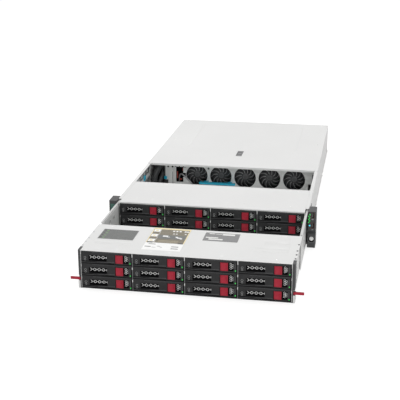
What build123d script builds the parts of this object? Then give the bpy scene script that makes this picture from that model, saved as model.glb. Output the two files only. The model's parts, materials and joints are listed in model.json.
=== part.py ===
from build123d import *
import math
import os

os.makedirs("parts", exist_ok=True)

# Storage server, two rack units high, with two drive cages on a telescoping drawer.
# Millimetres, +X to the right of someone facing the front, +Y to the rear, +Z up.
# The origin is the middle of the chassis floor's underside, in the plane of the rack posts.
# The drawer and its front cage are drawn fully pulled out.

# Rack standard and chassis shell
rack_width = 482.6
rack_unit = 44.45
rack_hole_spacing = rack_width - 17.5
rack_hole_height = 21.3
chassis_width = rack_width - 34.6
shell_height = 2 * rack_unit - 3.1
chassis_depth = 813.0
shell_sheet = 1.2
shell_flange = 8.0
slip = 0.3

# Ears in front of the rack posts
ear_depth = 38.0
ear_overlap = 16.0
ear_foot = 0.4
ear_top = shell_height + 1.0
ear_strap_length = 60.0
ear_strap_sheet = 0.8

# Cover over the rear part of the chassis
cover_front = 284.0
cover_sheet = 1.2
cover_front_lip = 4.0
cover_side_lip = 1.8

# Drive bays, four columns by three rows in each cage
columns = 4
rows = 3
divider_sheet = 1.0
drive_side_room = 2.575
drive_length = 147.0
bezel_depth = 6.2
bezel_gap = 0.275
bezel_seam = 0.2
carrier_rail = 2.0
carrier_rail_length = 150.0
ledge_reach = 1.4
ledge_sheet = 0.5
ledge_level = 3.2
rail_level = 4.0
rail_height = 12.0
backplane_sheet = 1.6
backplane_stand = 154.2

# Cages and the drawer that carries them
cage_floor = 1.3
cage_sheet = 0.6
front_cage_depth = 157.0
front_cage_drop = 2.5
front_side_sheet = 1.2
rear_cage_depth = 161.0
rear_cage_drop = 0.1
rear_side_sheet = 0.8
cage_gap_closed = 2.0
drawer_travel = 162.0
front_cage_travel = 146.0
drawer_wall_sheet = 1.5
slide_depth = 2.8
drawer_flange_sheet = 0.8
runner_sheet = 1.0
runner_lip = 0.7
runner_reach = 140.0
bracket_clearance = 0.5
bracket_depth = 21.2
lever_room = 2.1

# Fans behind the drawer
fan_count = 5
fan_rise = 2.1
fan_wall_y = 329.2
fan_frame_depth = 38.0
fan_blades = 11
hub_radius = 10.0
hub_length = 22.0
fan_shaft_radius = 2.0
fan_shaft_play = 0.05

# Electronics
board_level = 7.2
board_sheet = 1.6
psu_width = 73.5
psu_length = 185.0

# Worked-out places
def span(x):
    """A place across the chassis, written for a body 448 mm wide."""
    return x * chassis_width / 448.0


def rise(z):
    """A level in the chassis, written for a shell 85.8 mm high."""
    return z * shell_height / 85.8


half_width = chassis_width / 2
wall_inner = half_width - shell_sheet
front_y = -ear_depth
tray_front = -ear_overlap
rear_y = front_y + chassis_depth
rear_panel_y = rear_y - shell_sheet
slide_inner = wall_inner - slide_depth
drawer_wall_outer = slide_inner - slip
drawer_wall_inner = drawer_wall_outer - drawer_wall_sheet
runner_outer = drawer_wall_inner - slip
front_half = runner_outer - runner_lip - runner_sheet
inner_half = front_half - front_side_sheet
rear_half = inner_half + rear_side_sheet
bracket_outer = wall_inner - bracket_clearance
bay_width = (2 * inner_half - (columns - 1) * divider_sheet) / columns
column_pitch = bay_width + divider_sheet
drive_width = bay_width - 2 * drive_side_room
front_cage_top = shell_height - front_cage_drop
rear_cage_top = shell_height - rear_cage_drop
drawer_wall_top = front_cage_top - cage_sheet - slip
row_floor = cage_floor + cage_sheet
row_pitch = (drawer_wall_top + bezel_seam - row_floor) / rows
drive_height = row_pitch - 0.8
bay_top = row_floor + rows * row_pitch
rear_cage_y = cover_front - 1.5 - rear_cage_depth - drawer_travel
front_cage_y = rear_cage_y - cage_gap_closed - front_cage_depth - front_cage_travel
drawer_wall_front = front_cage_y + front_cage_travel + bracket_depth + lever_room
cover_bottom = shell_height
cover_top = shell_height + cover_sheet
ear_outer = rack_width / 2
screw_x = rack_hole_spacing / 2
psu_height = (shell_height - 5.4) / 2
fan_pitch = span(65.3)
first_fan_x = span(-100.9)
fan_height = shell_height / 2 + fan_rise
fan_frame_width = fan_pitch - 3.3
fan_frame_top = fan_height + 31.0
fan_opening_radius = fan_pitch / 2 - 3.65
fan_opening_half_height = fan_opening_radius - 3.5
fan_bore_radius = fan_opening_radius - 0.2
blade_tip_radius = fan_bore_radius - 0.8


def slab(x0, x1, y0, y1, z0, z1):
    """A rectangular block given by its lowest and highest corners."""
    return Pos((x0 + x1) / 2, (y0 + y1) / 2, (z0 + z1) / 2) * Box(x1 - x0, y1 - y0, z1 - z0)


def strip(x0, x1, z0, z1):
    """A rectangle of a cross-section that is looked at along the chassis."""
    return Pos((x0 + x1) / 2, (z0 + z1) / 2) * Rectangle(x1 - x0, z1 - z0)


def run_back(section, y0, y1):
    """A cross-section drawn in X and Z, extruded from y0 back to y1."""
    return extrude(Plane.XZ.offset(-y0) * section, amount=-(y1 - y0))


def rod(x, z, y0, y1, radius):
    """A round bar along Y."""
    return run_back(Pos(x, z) * Circle(radius), y0, y1)


def cross_rod(y, z, x0, x1, radius):
    """A round bar along X."""
    return Pos((x0 + x1) / 2, y, z) * Rot(0, 90, 0) * Cylinder(radius, x1 - x0)


def both_sides(shape):
    """The shape and its mirror image on the other side of the chassis."""
    return [shape, mirror(shape, about=Plane.YZ)]


def save(node, *solids):
    """Write one node, as one solid or as a group of separate solids."""
    shape = solids[0] if len(solids) == 1 else Compound(children=list(solids))
    export_step(shape, f"parts/{node}.step")


# Chassis tray: floor, side walls with inward flanges, rear panel and bays for the supplies
psu_x = wall_inner - 10.8 - psu_width
psu_wall_x = psu_x - 2.0
psu_front = rear_y - psu_length
psu_shelf_z = shell_sheet + slip + psu_height + slip
psu_levels = [shell_sheet + slip, psu_shelf_z + shell_sheet + slip]
riser_spans = [(span(-205.0), span(-75.0)), (span(-65.0), span(65.0))]
slot_levels = [rise(12.0), rise(34.0), rise(56.0)]
slot_height = rise(18.4)
port_left = span(74.0)
port_right = psu_x - 12.5
vent_pitch = (port_right - port_left - 8.0) / 5
vent_rise = rise(9.0)


def chassis_tray():
    """The tray as its flat leaves, the board posts, the rear panel and the bay of the supplies."""
    flange_low = shell_height - shell_sheet
    leaves = [slab(-half_width, half_width, tray_front, rear_y, 0, shell_sheet)]
    panel = strip(-wall_inner, wall_inner, shell_sheet, shell_height)
    for side in (-1, 1):
        x0, x1 = sorted((side * wall_inner, side * half_width))
        leaves.append(slab(x0, x1, tray_front, rear_y, shell_sheet, flange_low))
        x0, x1 = sorted((side * (half_width - shell_flange), side * half_width))
        leaves.append(slab(x0, x1, tray_front, rear_y, flange_low, shell_height))
        panel -= strip(x0, x1, flange_low, shell_height)
    for level in psu_levels:
        panel -= strip(psu_x - 0.5, psu_x + psu_width + 0.5, level - 0.2, level + psu_height + 0.2)
    for x0, x1 in riser_spans:
        for level in slot_levels:
            panel -= strip(x0 + 8, x1 - 8, level, level + slot_height)
    panel -= strip(port_left, port_right, 12, 34)
    for column in range(6):
        for row in range(4):
            place = Pos(port_left + 4 + column * vent_pitch, rise(46) + row * vent_rise)
            panel -= place * RegularPolygon(3.2, 6)
    bay_wall_x = psu_wall_x + shell_sheet
    bay = slab(psu_wall_x, bay_wall_x, psu_front, rear_panel_y, shell_sheet, shell_height - 3)
    bay += slab(psu_wall_x, wall_inner, psu_front, rear_panel_y, psu_shelf_z, psu_shelf_z + shell_sheet)
    post = Cylinder(3.0, board_level - shell_sheet)
    posts = [Pos(x, y, (shell_sheet + board_level) / 2) * post for x, y in board_posts()]
    return [*leaves, *posts, run_back(panel, rear_panel_y, rear_y), bay]


def board_posts():
    """Places of the pressed-in posts under the system board."""
    front_posts = [(span(x), y) for x in (-168.0, -18.0, 126.0) for y in (395.0, 560.0)]
    return front_posts + [(span(-168.0), 690.0), (psu_wall_x - 18.5, 690.0)]


# Ears: moulded blocks that close the rack posts and hold the front controls
panel_recess = 0.6
pocket_radius = 7.6
pocket_floor = front_y + 8.0
screw_radius = 3.0
screw_neck_radius = 2.5
screw_thread_start = 0.6
screw_reach = 14.0
button_x = half_width + 3.6
power_z = rise(80.0)
locate_z = rise(54.0)
port_x = ear_outer - 6.7
port_levels = (rise(72.0), rise(47.5))
port_width = 5.2
port_height = 12.8
port_depth = 12.0
button_radius = 2.6


def ear_body():
    """The right-hand ear before its own controls are cut."""
    outline = Polyline(
        (wall_inner, front_y),
        (ear_outer, front_y),
        (ear_outer, 0),
        (half_width, 0),
        (half_width, tray_front - slip),
        (wall_inner, tray_front - slip),
        close=True,
    )
    body = extrude(Plane.XY.offset(ear_foot) * make_face(outline), amount=ear_top - ear_foot)
    front_edges = body.edges().filter_by(Axis.Z).group_by(Axis.Y)[0]
    body = chamfer(front_edges, 1.2)
    step = Polyline((front_y - 1, 32), (front_y + 3.5, 36), (front_y - 1, 46), close=True)
    body -= extrude(Plane.YZ.offset(wall_inner - 1) * make_face(step), amount=ear_outer - wall_inner + 2)
    body -= rod(screw_x, rack_hole_height, front_y - 1, pocket_floor, pocket_radius)
    body -= rod(screw_x, rack_hole_height, front_y, 1, screw_radius + slip)
    body += slab(half_width, half_width + ear_strap_sheet, 0, ear_strap_length, 12, rise(74))
    return body


def ear_right():
    body = ear_body()
    body -= slab(wall_inner + 1.5, ear_outer - 1.5, front_y - 1, front_y + panel_recess, 40, ear_top - 1.5)
    for level in (power_z, locate_z):
        body -= rod(button_x, level, front_y - 1, front_y + 7, button_radius + slip)
    for level in port_levels:
        body -= slab(
            port_x - port_width / 2,
            port_x + port_width / 2,
            front_y - 1,
            front_y + port_depth,
            level,
            level + port_height,
        )
    return body


def ear_left():
    body = ear_body()
    plate = strip(wall_inner + 2.5, ear_outer - 2.5, rise(54), rise(80))
    body -= run_back(plate, front_y - 1, front_y + panel_recess)
    return mirror(body, about=Plane.YZ)


def push_button(level):
    """A round button that stands just proud of the ear."""
    button = rod(button_x, level, front_y - 0.8, front_y + 5.0, button_radius)
    rim = button.edges().group_by(Axis.Y)[0]
    return chamfer(rim, 0.4)


# Fasteners: rack screws in the ears and shouldered studs for the rack rails
stud_places = (235.0, 485.0, 735.0)
stud_z = 16.4
stud_neck_radius = 3.2
stud_head_radius = 4.8
stud_reach = 3.6


def rack_screw():
    """A captive screw: its neck turns in the ear and its thread stands out behind."""
    screw = rod(screw_x, rack_hole_height, pocket_floor - 5.0, pocket_floor, 5.6)
    screw = chamfer(screw.edges().group_by(Axis.Y)[0], 0.8)
    slot = strip(screw_x - 4, screw_x + 4, rack_hole_height - 0.6, rack_hole_height + 0.6)
    screw -= run_back(slot, pocket_floor - 6, pocket_floor - 3.6)
    screw += rod(screw_x, rack_hole_height, pocket_floor, screw_thread_start, screw_neck_radius)
    return screw + rod(screw_x, rack_hole_height, screw_thread_start, screw_reach, screw_radius)


def rail_stud(y):
    head_x = half_width + stud_reach - 2.0
    neck = cross_rod(y, stud_z, half_width, head_x, stud_neck_radius)
    return neck + cross_rod(y, stud_z, head_x, half_width + stud_reach, stud_head_radius)


def steel_fasteners():
    group = both_sides(rack_screw())
    for y in stud_places:
        group += both_sides(rail_stud(y))
    return group


# Fan wall: a folded plate with five flattened round openings
fan_wall_left = span(-189.0)
fan_wall_right = wall_inner - 8.8
fan_wall_top = shell_height - 1.6
fan_wall_fold = 10.0
window_left_x = span(-161.0)
window_right_x = span(-131.0)
channel_right = span(-164.0)
channel_depth = 7.0


def flattened_circle(radius, half_height):
    return Circle(radius) & Rectangle(2 * radius + 2, 2 * half_height)


def fan_centres():
    return [first_fan_x + i * fan_pitch for i in range(fan_count)]


def fan_wall():
    face = strip(fan_wall_left, fan_wall_right, shell_sheet, fan_wall_top)
    for x in fan_centres():
        face -= Pos(x, fan_height) * flattened_circle(fan_opening_radius, fan_opening_half_height)
    face -= strip(window_left_x, window_right_x, 24.0, 66.0)
    face -= strip(fan_wall_right - 6.5, fan_wall_right + 1, 36.0, 62.0)
    face -= strip(fan_wall_right - 16.5, fan_wall_right - 8.5, 19.0, 35.0)
    for x in (-159.3, -149.7, -137.3):
        face -= Pos(span(x), rise(71.5)) * Circle(1.8)
    face -= strip(fan_wall_left - 1, channel_right - shell_sheet, 6.0, fan_wall_top - 6)
    wall = run_back(face, fan_wall_y, fan_wall_y + shell_sheet)
    back = fan_wall_y + fan_wall_fold
    wall += slab(fan_wall_left, fan_wall_right, fan_wall_y, back, fan_wall_top - shell_sheet, fan_wall_top)
    wall += slab(fan_wall_left, fan_wall_right, fan_wall_y, back, shell_sheet, 2 * shell_sheet)
    channel_front = fan_wall_y - channel_depth
    channel_back = channel_front + shell_sheet
    wall += slab(fan_wall_left, channel_right, channel_front, channel_back, shell_sheet, fan_wall_top)
    for x in (fan_wall_left, channel_right - shell_sheet):
        wall += slab(x, x + shell_sheet, channel_front, fan_wall_y + shell_sheet, shell_sheet, fan_wall_top)
    rib = Pos((fan_wall_left + channel_right) / 2 + 2, 42) * SlotOverall(46, 5, rotation=90)
    wall += run_back(rib, channel_front - 1.6, channel_front)
    return wall


# Fans: a frame with a bored duct, a rear spider with the shaft, and an impeller
frame_y = fan_wall_y + shell_sheet
spider_thickness = 4.0
hub_y = frame_y + 4.0


def fan_frame(x):
    frame = slab(
        x - fan_frame_width / 2,
        x + fan_frame_width / 2,
        frame_y,
        frame_y + fan_frame_depth,
        2 * shell_sheet,
        fan_frame_top,
    )
    foot = strip(x - fan_frame_width, x + fan_frame_width, 0, 2 * shell_sheet + 0.1)
    frame -= run_back(foot, frame_y - 1, fan_wall_y + fan_wall_fold)
    frame -= rod(x, fan_height, frame_y - 1, frame_y + fan_frame_depth + 1, fan_bore_radius)
    spider_y = frame_y + fan_frame_depth - spider_thickness
    spider = Circle(hub_radius)
    for turn in range(4):
        spider += Rot(0, 0, 45 + 90 * turn) * Pos(fan_bore_radius / 2, 0) * Rectangle(fan_bore_radius + 2, 3)
    frame += run_back(Pos(x, fan_height) * spider, spider_y, spider_y + spider_thickness)
    frame += rod(x, fan_height, hub_y + 6, spider_y, fan_shaft_radius)
    return frame


def fan_impeller(x):
    hub = Circle(hub_radius)
    body = run_back(hub, 0, hub_length)
    body = fillet(body.edges().group_by(Axis.Y)[0], 3.0)
    body -= run_back(Circle(fan_shaft_radius + fan_shaft_play), 5.0, hub_length + 1)
    reach = blade_tip_radius + 4
    camber = ThreePointArc((-6.2, 18.5), (-1.5, 11.5), (6.8, 5.0))
    camber_inner = ThreePointArc((6.2, 4.2), (-2.4, 10.6), (-7.2, 18.2))
    edge_a = Line((6.8, 5.0), (6.2, 4.2))
    edge_b = Line((-7.2, 18.2), (-6.2, 18.5))
    section = make_face([camber, edge_a, camber_inner, edge_b])
    tip = run_back(Circle(blade_tip_radius), 0, hub_length)
    blade = extrude(Plane.XY.offset(hub_radius - 2) * section, amount=reach - hub_radius) & tip
    blades = [Rot(0, 360 / fan_blades * i, 0) * blade for i in range(fan_blades)]
    return Pos(x, hub_y, fan_height) * (body + blades)


# Chassis members of the drawer slides
slide_low = 30.0
slide_high = 52.0
slide_rear = 290.0


def slide_rail():
    section = strip(wall_inner - 0.8, wall_inner, slide_low, slide_high)
    section += strip(slide_inner, wall_inner, slide_low, slide_low + 1)
    section += strip(slide_inner, wall_inner, slide_high - 1, slide_high)
    return run_back(section, tray_front + 2, slide_rear)


# Blue release parts: the bar in front of the fans and two small tabs
bar_left = span(-90.0)
bar_right = span(5.0)
bar_front = fan_wall_y - 25.2
bar_rear = fan_wall_y - 15.2


def touch_points():
    bar = slab(bar_left, bar_right, bar_front, bar_rear, 26.0, 33.5)
    bar = chamfer(bar.edges().filter_by(Axis.X).group_by(Axis.Z)[-1], 2.0)
    for x in (bar_left + 16, bar_right - 16):
        bar += slab(x - 6, x + 6, bar_rear, fan_wall_y, 27.0, 31.0)
    channel_front = fan_wall_y - channel_depth
    tab = slab(fan_wall_left, fan_wall_left + 6, channel_front - 4, channel_front, 32, 44)
    wall_tab = slab(-wall_inner, -wall_inner + 2.4, 229.0, 240.0, 54.0, 66.0)
    return [bar, tab, wall_tab]


# Black duct in the left bay, open at the top
duct_left = 6.8 - wall_inner
duct_right = fan_wall_left - 3.5
duct_front = 290.0
duct_rear = 560.0
duct_height = 66.0
duct_wall = 2.0


def cable_duct():
    section = strip(duct_left, duct_right, shell_sheet, shell_sheet + duct_wall)
    section += strip(duct_left, duct_left + duct_wall, shell_sheet, duct_height)
    section += strip(duct_right - duct_wall, duct_right, shell_sheet, duct_height)
    duct = run_back(section, duct_front, duct_rear)
    lead = duct_front - 1
    slope = Polyline((lead, 20), (lead, duct_height + 1), (lead + 35, duct_height + 1), close=True)
    duct -= extrude(Plane.YZ.offset(duct_left - 1) * make_face(slope), amount=duct_right - duct_left + 2)
    return duct


# Signal cable clipped between two sockets on the chassis floor, through the fan wall's window
cable_radius = 2.0
cable_route = [
    (span(-105.0), 313.0, 9.0),
    (span(-108.0), 315.0, 20.0),
    (span(-120.0), 321.0, 31.0),
    (span(-134.0), 325.0, 43.0),
    (span(-145.0), 335.0, 46.0),
    (span(-152.0), 347.0, 38.0),
    (span(-154.0), 352.0, 24.0),
    (span(-154.0), 352.0, 12.0),
]


def corner_radii(points):
    """The largest radius that each corner of a route has room for."""
    radii = []
    for before, here, after in zip(points, points[1:], points[2:]):
        run_in = Vector(*here) - Vector(*before)
        run_out = Vector(*after) - Vector(*here)
        turn = run_in.get_angle(run_out)
        radii.append(0.45 * min(run_in.length, run_out.length) / math.tan(math.radians(turn / 2)))
    return radii


def signal_cable():
    radii = corner_radii(cable_route)
    print("cable radii", [round(r, 1) for r in radii])
    path = FilletPolyline(*cable_route, radius=radii)
    start = Plane(origin=cable_route[0], z_dir=path % 0)
    tube = sweep(start * Circle(cable_radius), path=path)
    length = path.length
    straight_volume = math.pi * cable_radius ** 2 * length
    print("cable length", round(length, 1), "volume ratio", round(tube.volume / straight_volume, 4))
    plugs = []
    for end in (cable_route[0], cable_route[-1]):
        plugs.append(slab(end[0] - 9, end[0] + 9, end[1] - 4, end[1] + 4, shell_sheet, end[2]))
    return [tube] + plugs


# System board with processor sockets and memory slots
board_left = span(-176.0)
board_right = span(137.0)
board_rear_right = psu_wall_x - 9.5
socket_half = span(38.0)
processor_places = [(span(-95.0), 452.0), (span(60.0), 452.0)]
slot_groups = (-166.0, -46.0, -14.0, 108.0)
slot_pitch = span(8.0)
slot_rows = [span(start) + slot_pitch * i for start in slot_groups for i in range(4)]
slot_length = 140.0
module_length = 133.35
slot_y = 452.0
slot_top = board_level + board_sheet + 8.0
socket_top = board_level + board_sheet + 5.0


def system_board():
    top = board_level + board_sheet
    board = slab(board_left, board_right, 384, 570, board_level, top)
    board += slab(board_left, board_rear_right, 570, 700, board_level, top)
    for x, y in processor_places:
        board += slab(x - socket_half, x + socket_half, y - 38, y + 38, top, socket_top)
    for x in slot_rows:
        board += slab(x - 3.2, x + 3.2, slot_y - slot_length / 2, slot_y + slot_length / 2, top, slot_top)
    board += slab(-40, 0, 600, 640, top, top + 9)
    board += slab(port_left, port_right, 686, 700, top, top + 14)
    return board


def memory_modules():
    half = module_length / 2
    return [slab(x - 1.6, x + 1.6, slot_y - half, slot_y + half, slot_top, slot_top + 24) for x in slot_rows]


def heatsink(x, y):
    width, depth, base, fins = 2 * socket_half, 100.0, 5.0, 16
    section = strip(-width / 2, width / 2, socket_top, socket_top + base)
    for i in range(fins):
        left = -width / 2 + i * (width - 1.0) / (fins - 1)
        section += strip(left, left + 1.0, socket_top + base, rise(72.0))
    return run_back(Pos(x, 0) * section, y - depth / 2, y + depth / 2)


# Riser cages: folded brackets that hold expansion cards behind the rear panel
def riser_cage(x0, x1):
    front = rear_y - 165.0
    top = shell_height - 4.6
    cage = slab(x0, x1, front, rear_panel_y, top - shell_sheet, top)
    cage += slab(x0, x0 + shell_sheet, front, rear_panel_y, board_level + board_sheet, top)
    backs = strip(x0, x1, board_level + board_sheet, top)
    for level in slot_levels:
        for column in range(8):
            centre = x0 + 22 + column * (x1 - x0 - 44) / 7
            backs -= Pos(centre, level + slot_height / 2) * SlotOverall(11, 3.4, rotation=90)
    cage += run_back(backs, rear_panel_y - shell_sheet, rear_panel_y)
    return cage


# Power supplies: slide-out modules with an inlet, a fan grille and a pull handle
inlet = (10.0, 37.0, 9.0, 29.0)
inlet_depth = 14.0
psu_body_end = rear_y + 0.8


def power_supply(level):
    body = slab(psu_x, psu_x + psu_width, psu_front + 2, psu_body_end, level, level + psu_height)
    x0, x1, low, high = inlet
    socket = strip(psu_x + x0, psu_x + x1, level + low, level + high)
    body -= run_back(socket, psu_body_end - inlet_depth, psu_body_end + 1)
    vent_x = psu_x + 56.0
    vent_z = level + psu_height / 2
    body -= rod(vent_x, vent_z, psu_body_end - 2.5, psu_body_end + 1, 14.0)
    grille = Circle(3.0)
    for turn in range(3):
        grille += Rot(0, 0, 60 * turn) * Rectangle(27.6, 1.6)
    body += run_back(Pos(vent_x, vent_z) * grille, psu_body_end - 2.5, psu_body_end - 0.6)
    handle = Polyline(
        (psu_x + 40.0, psu_body_end),
        (psu_x + 40.0, psu_body_end + 20),
        (psu_x + 70.0, psu_body_end + 20),
        (psu_x + 70.0, psu_body_end),
        (psu_x + 67.0, psu_body_end),
        (psu_x + 67.0, psu_body_end + 17),
        (psu_x + 43.0, psu_body_end + 17),
        (psu_x + 43.0, psu_body_end),
        close=True,
    )
    body += extrude(Plane.XY.offset(level + psu_height / 2 - 4) * make_face(handle), amount=8)
    body += slab(psu_x + 3, psu_x + 8, psu_body_end, psu_body_end + 10, level + 8, level + 30)
    return body


# Main cover with its front lip, side lips and the well of its latch
latch_x = 3.0
latch_y = 414.0
latch_width = 15.6
latch_length = 52.0
latch_sheet = 3.0
latch_pin_inset = 3.6
latch_pin_y = latch_y + latch_length / 2 - latch_pin_inset
latch_pin_z = cover_bottom - 2.0
well_depth = 6.0
well_wall = 0.8


def latch_space(spare, low, high):
    """The latch's outline with some room all round, between two levels."""
    half_x = latch_width / 2 + spare
    half_y = latch_length / 2 + spare
    return slab(latch_x - half_x, latch_x + half_x, latch_y - half_y, latch_y + half_y, low, high)


def main_cover():
    """The folded plate, and the tub of its latch that stands in an opening of the plate."""
    cover = slab(-half_width, half_width, cover_front, rear_y - 1, cover_bottom, cover_top)
    lip_outer = half_width - shell_flange - slip
    front_lip = cover_bottom - cover_front_lip
    side_lip = cover_bottom - cover_side_lip
    cover += slab(-lip_outer, lip_outer, cover_front, cover_front + cover_sheet, front_lip, cover_bottom)
    for x0, x1 in ((-lip_outer, -lip_outer + 1), (lip_outer - 1, lip_outer)):
        cover += slab(x0, x1, fan_wall_y + fan_frame_depth + 20, rear_y - 20, side_lip, cover_bottom)
    tub_spare = slip + well_wall
    well = latch_space(tub_spare, cover_bottom - well_depth, cover_top)
    well -= latch_space(slip, cover_bottom - well_depth + well_wall, cover_top + 1)
    pin_reach = latch_width / 2 + slip
    well += cross_rod(latch_pin_y, latch_pin_z, latch_x - pin_reach, latch_x + pin_reach, 1.0)
    return [cover - latch_space(tub_spare, cover_bottom - 1, cover_top + 1), well]


def cover_latch():
    """A flat lever that lies flush in its well and turns on a pin at its rear end."""
    left = latch_x - latch_width / 2
    right = latch_x + latch_width / 2
    lever = slab(left, right, latch_y - latch_length / 2, latch_pin_y, cover_top - latch_sheet, cover_top)
    lever += cross_rod(latch_pin_y, latch_pin_z, left, right, 2.2)
    lever -= cross_rod(latch_pin_y, latch_pin_z, left - 1, right + 1, 1.05)
    for offset in (-14.0, 2.0):
        middle = latch_y + offset
        lever -= slab(left + 2.5, right - 2.5, middle - 5, middle + 5, cover_top - 1.2, cover_top + 1)
    return lever


# Drawer frame: a floor under the rear cage and two long side walls with top flanges
def drawer_frame():
    drawer_rear = rear_cage_y + rear_cage_depth
    frame = slab(-drawer_wall_outer, drawer_wall_outer, rear_cage_y + 8, drawer_rear, cage_floor, row_floor)
    wall_rect = strip(drawer_wall_inner, drawer_wall_outer, cage_floor, drawer_wall_top)
    flange_in = front_half + runner_sheet + slip
    flange_out = wall_inner - 0.6
    wall_rect += strip(flange_in, flange_out, drawer_wall_top - drawer_flange_sheet, drawer_wall_top)
    wall = run_back(wall_rect, drawer_wall_front, drawer_rear)
    inside = drawer_wall_inner - 1
    outside = drawer_wall_outer + 1
    for y in (drawer_wall_front + 22, drawer_wall_front + 62):
        wall -= slab(inside, outside, y, y + 14, 58, 66)
    wall -= slab(inside, outside, drawer_wall_front + 92, drawer_wall_front + 122, 12, 22)
    for side in both_sides(wall):
        frame += side
    return frame


def bay_section(top, half, side_sheet):
    """Sides and dividers of a cage, seen along the chassis."""
    section = strip(-half, -half + side_sheet, row_floor, top)
    section += strip(half - side_sheet, half, row_floor, top)
    for i in range(1, columns):
        x = -inner_half + i * column_pitch - divider_sheet
        section += strip(x, x + divider_sheet, row_floor, top)
    return section


def bay_ledges():
    """The ledges that carry the drive carriers, seen along the chassis."""
    section = []
    for i in range(columns):
        left = -inner_half + i * column_pitch
        for row in range(rows):
            z = row_floor + row * row_pitch + ledge_level
            section.append(strip(left, left + ledge_reach, z, z + ledge_sheet))
            section.append(strip(left + bay_width - ledge_reach, left + bay_width, z, z + ledge_sheet))
    return section


def cage_body(y, top, top_sheet, half, side_sheet):
    body = run_back(bay_section(top, half, side_sheet), y, y + backplane_stand)
    for ledge in bay_ledges():
        body += run_back(ledge, y + bezel_depth + 1.5, y + backplane_stand)
    body += slab(-half, half, y, y + backplane_stand, top - top_sheet, top)
    return body


def rear_cage():
    body = cage_body(rear_cage_y, rear_cage_top, cage_sheet + 0.2, rear_half, rear_side_sheet)
    rear = rear_cage_y + rear_cage_depth
    board_y = rear_cage_y + backplane_stand
    body += slab(-rear_half, rear_half, board_y, rear, rear_cage_top - 0.8, rear_cage_top)
    body += slab(-inner_half, inner_half, rear_cage_y, rear_cage_y + 0.8, bay_top + 0.2, rear_cage_top)
    body += slab(-rear_half, rear_half, rear - 0.8, rear, rear_cage_top - 12, rear_cage_top)
    return body


# The front cage has perforated runner plates, and strips with square holes over them
strip_holes = (29.1, 50.6, 72.1, 107.5)


def front_cage():
    body = cage_body(front_cage_y, front_cage_top, cage_sheet, front_half, front_side_sheet)
    rear = front_cage_y + front_cage_depth
    body += slab(-front_half, front_half, front_cage_y + bezel_depth + 1, rear, cage_floor, row_floor)
    board_y = front_cage_y + backplane_stand
    top_low = front_cage_top - cage_sheet
    body += slab(-front_half, front_half, board_y, rear, top_low, front_cage_top)
    behind_bracket = front_cage_y + bracket_depth + slip
    runner_end = rear + runner_reach
    runner_top = front_cage_top - 3.3
    runner = strip(front_half, front_half + runner_sheet, 4.0, runner_top)
    for level in (4.0, 25.0, 55.0, runner_top - 1.2):
        runner += strip(front_half, runner_outer, level, level + 1.2)
    runner = run_back(runner, behind_bracket, runner_end)
    for y in (rear + 24, rear + 58, rear + 92):
        runner -= slab(front_half - 1, runner_outer + 1, y, y + 16, 60, 68)
    top_strip = slab(front_half, bracket_outer, behind_bracket, rear, top_low, front_cage_top)
    top_strip += slab(front_half, front_half + runner_sheet, behind_bracket, rear, runner_top, front_cage_top)
    for offset in strip_holes:
        y = front_cage_y + offset
        inner = front_half + 1.4
        outer = bracket_outer - 1.2
        top_strip -= slab(inner, outer, y - 3, y + 3, top_low - 1, front_cage_top + 1)
    for side in both_sides(runner + top_strip):
        body += side
    return body


def backplane(y):
    board = strip(-inner_half + 0.5, inner_half - 0.5, row_floor + 1, bay_top - 1)
    for i in range(columns):
        centre = -inner_half + bay_width / 2 + i * column_pitch
        for row in range(rows):
            z = row_floor + (row + 0.5) * row_pitch
            board -= strip(centre - 40, centre + 18, z - 4, z + 4)
    return run_back(board, y + backplane_stand, y + backplane_stand + backplane_sheet)


# Front brackets, the black strip that joins them and the release levers beside them
lever_z = 20.5
lever_height = 5.2
lever_thickness = 3.6
lever_reach = 20.0
lever_y = front_cage_y + 2.8
lever_pin_radius = 1.2
notch_height = 28.0
notch_depth = 4.2
lever_pin_x = bracket_outer - notch_depth / 2


def front_brackets():
    outline = Polyline(
        (front_half, front_cage_y),
        (bracket_outer - 1.5, front_cage_y),
        (bracket_outer, front_cage_y + 2.5),
        (bracket_outer, front_cage_y + bracket_depth),
        (front_half, front_cage_y + bracket_depth),
        close=True,
    )
    bracket = extrude(Plane.XY.offset(slip) * make_face(outline), amount=front_cage_top - slip)
    notch_x = bracket_outer - notch_depth
    notch = strip(notch_x, bracket_outer + 1, lever_z - 3.2, notch_height)
    bracket -= run_back(notch, front_cage_y - 1, front_cage_y + bracket_depth + 1)
    bracket += Pos(lever_pin_x, lever_y, notch_height / 2 + 3) * Cylinder(lever_pin_radius, notch_height)
    group = both_sides(bracket)
    lip = slab(-front_half, front_half, front_cage_y + 0.4, front_cage_y + bezel_depth, slip, row_floor - 0.1)
    return group[0] + group[1] + lip


def release_lever(side):
    """A red lever that folds back into its bracket's notch about an upright pin."""
    pin = Pos(lever_pin_x, lever_y, lever_z)
    arm = Pos(lever_reach / 2, 0) * Box(lever_reach, lever_thickness, lever_height)
    arm = fillet(arm.edges().filter_by(Axis.Z).group_by(Axis.X)[-1], 1.4)
    eye = Cylinder(lever_thickness / 2, lever_height)
    lever = pin * (arm + eye - Cylinder(lever_pin_radius + 0.05, lever_height + 2))
    return lever if side > 0 else mirror(lever, about=Plane.YZ)


# Drive carriers: a moulded bezel on two side rails, the drive between them and the latch
window_left = 0.13
window_right = 0.50
latch_left = 0.665
latch_right = 0.835
grille_left = 0.85
grille_right = 0.925
bezel_width = bay_width - 2 * bezel_gap
bezel_height = row_pitch - 2 * bezel_seam
latch_pocket = 4.0
latch_nose = 0.6
latch_low_margin = 3.8
latch_high_margin = 4.8


def bay_place(y, column, row):
    """Middle of a bay's lower front edge."""
    return Pos(-inner_half + bay_width / 2 + column * column_pitch, y, row_floor + row * row_pitch)


def across(share):
    """A distance along the bezel, from a share of its width."""
    return -bezel_width / 2 + share * bezel_width


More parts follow.
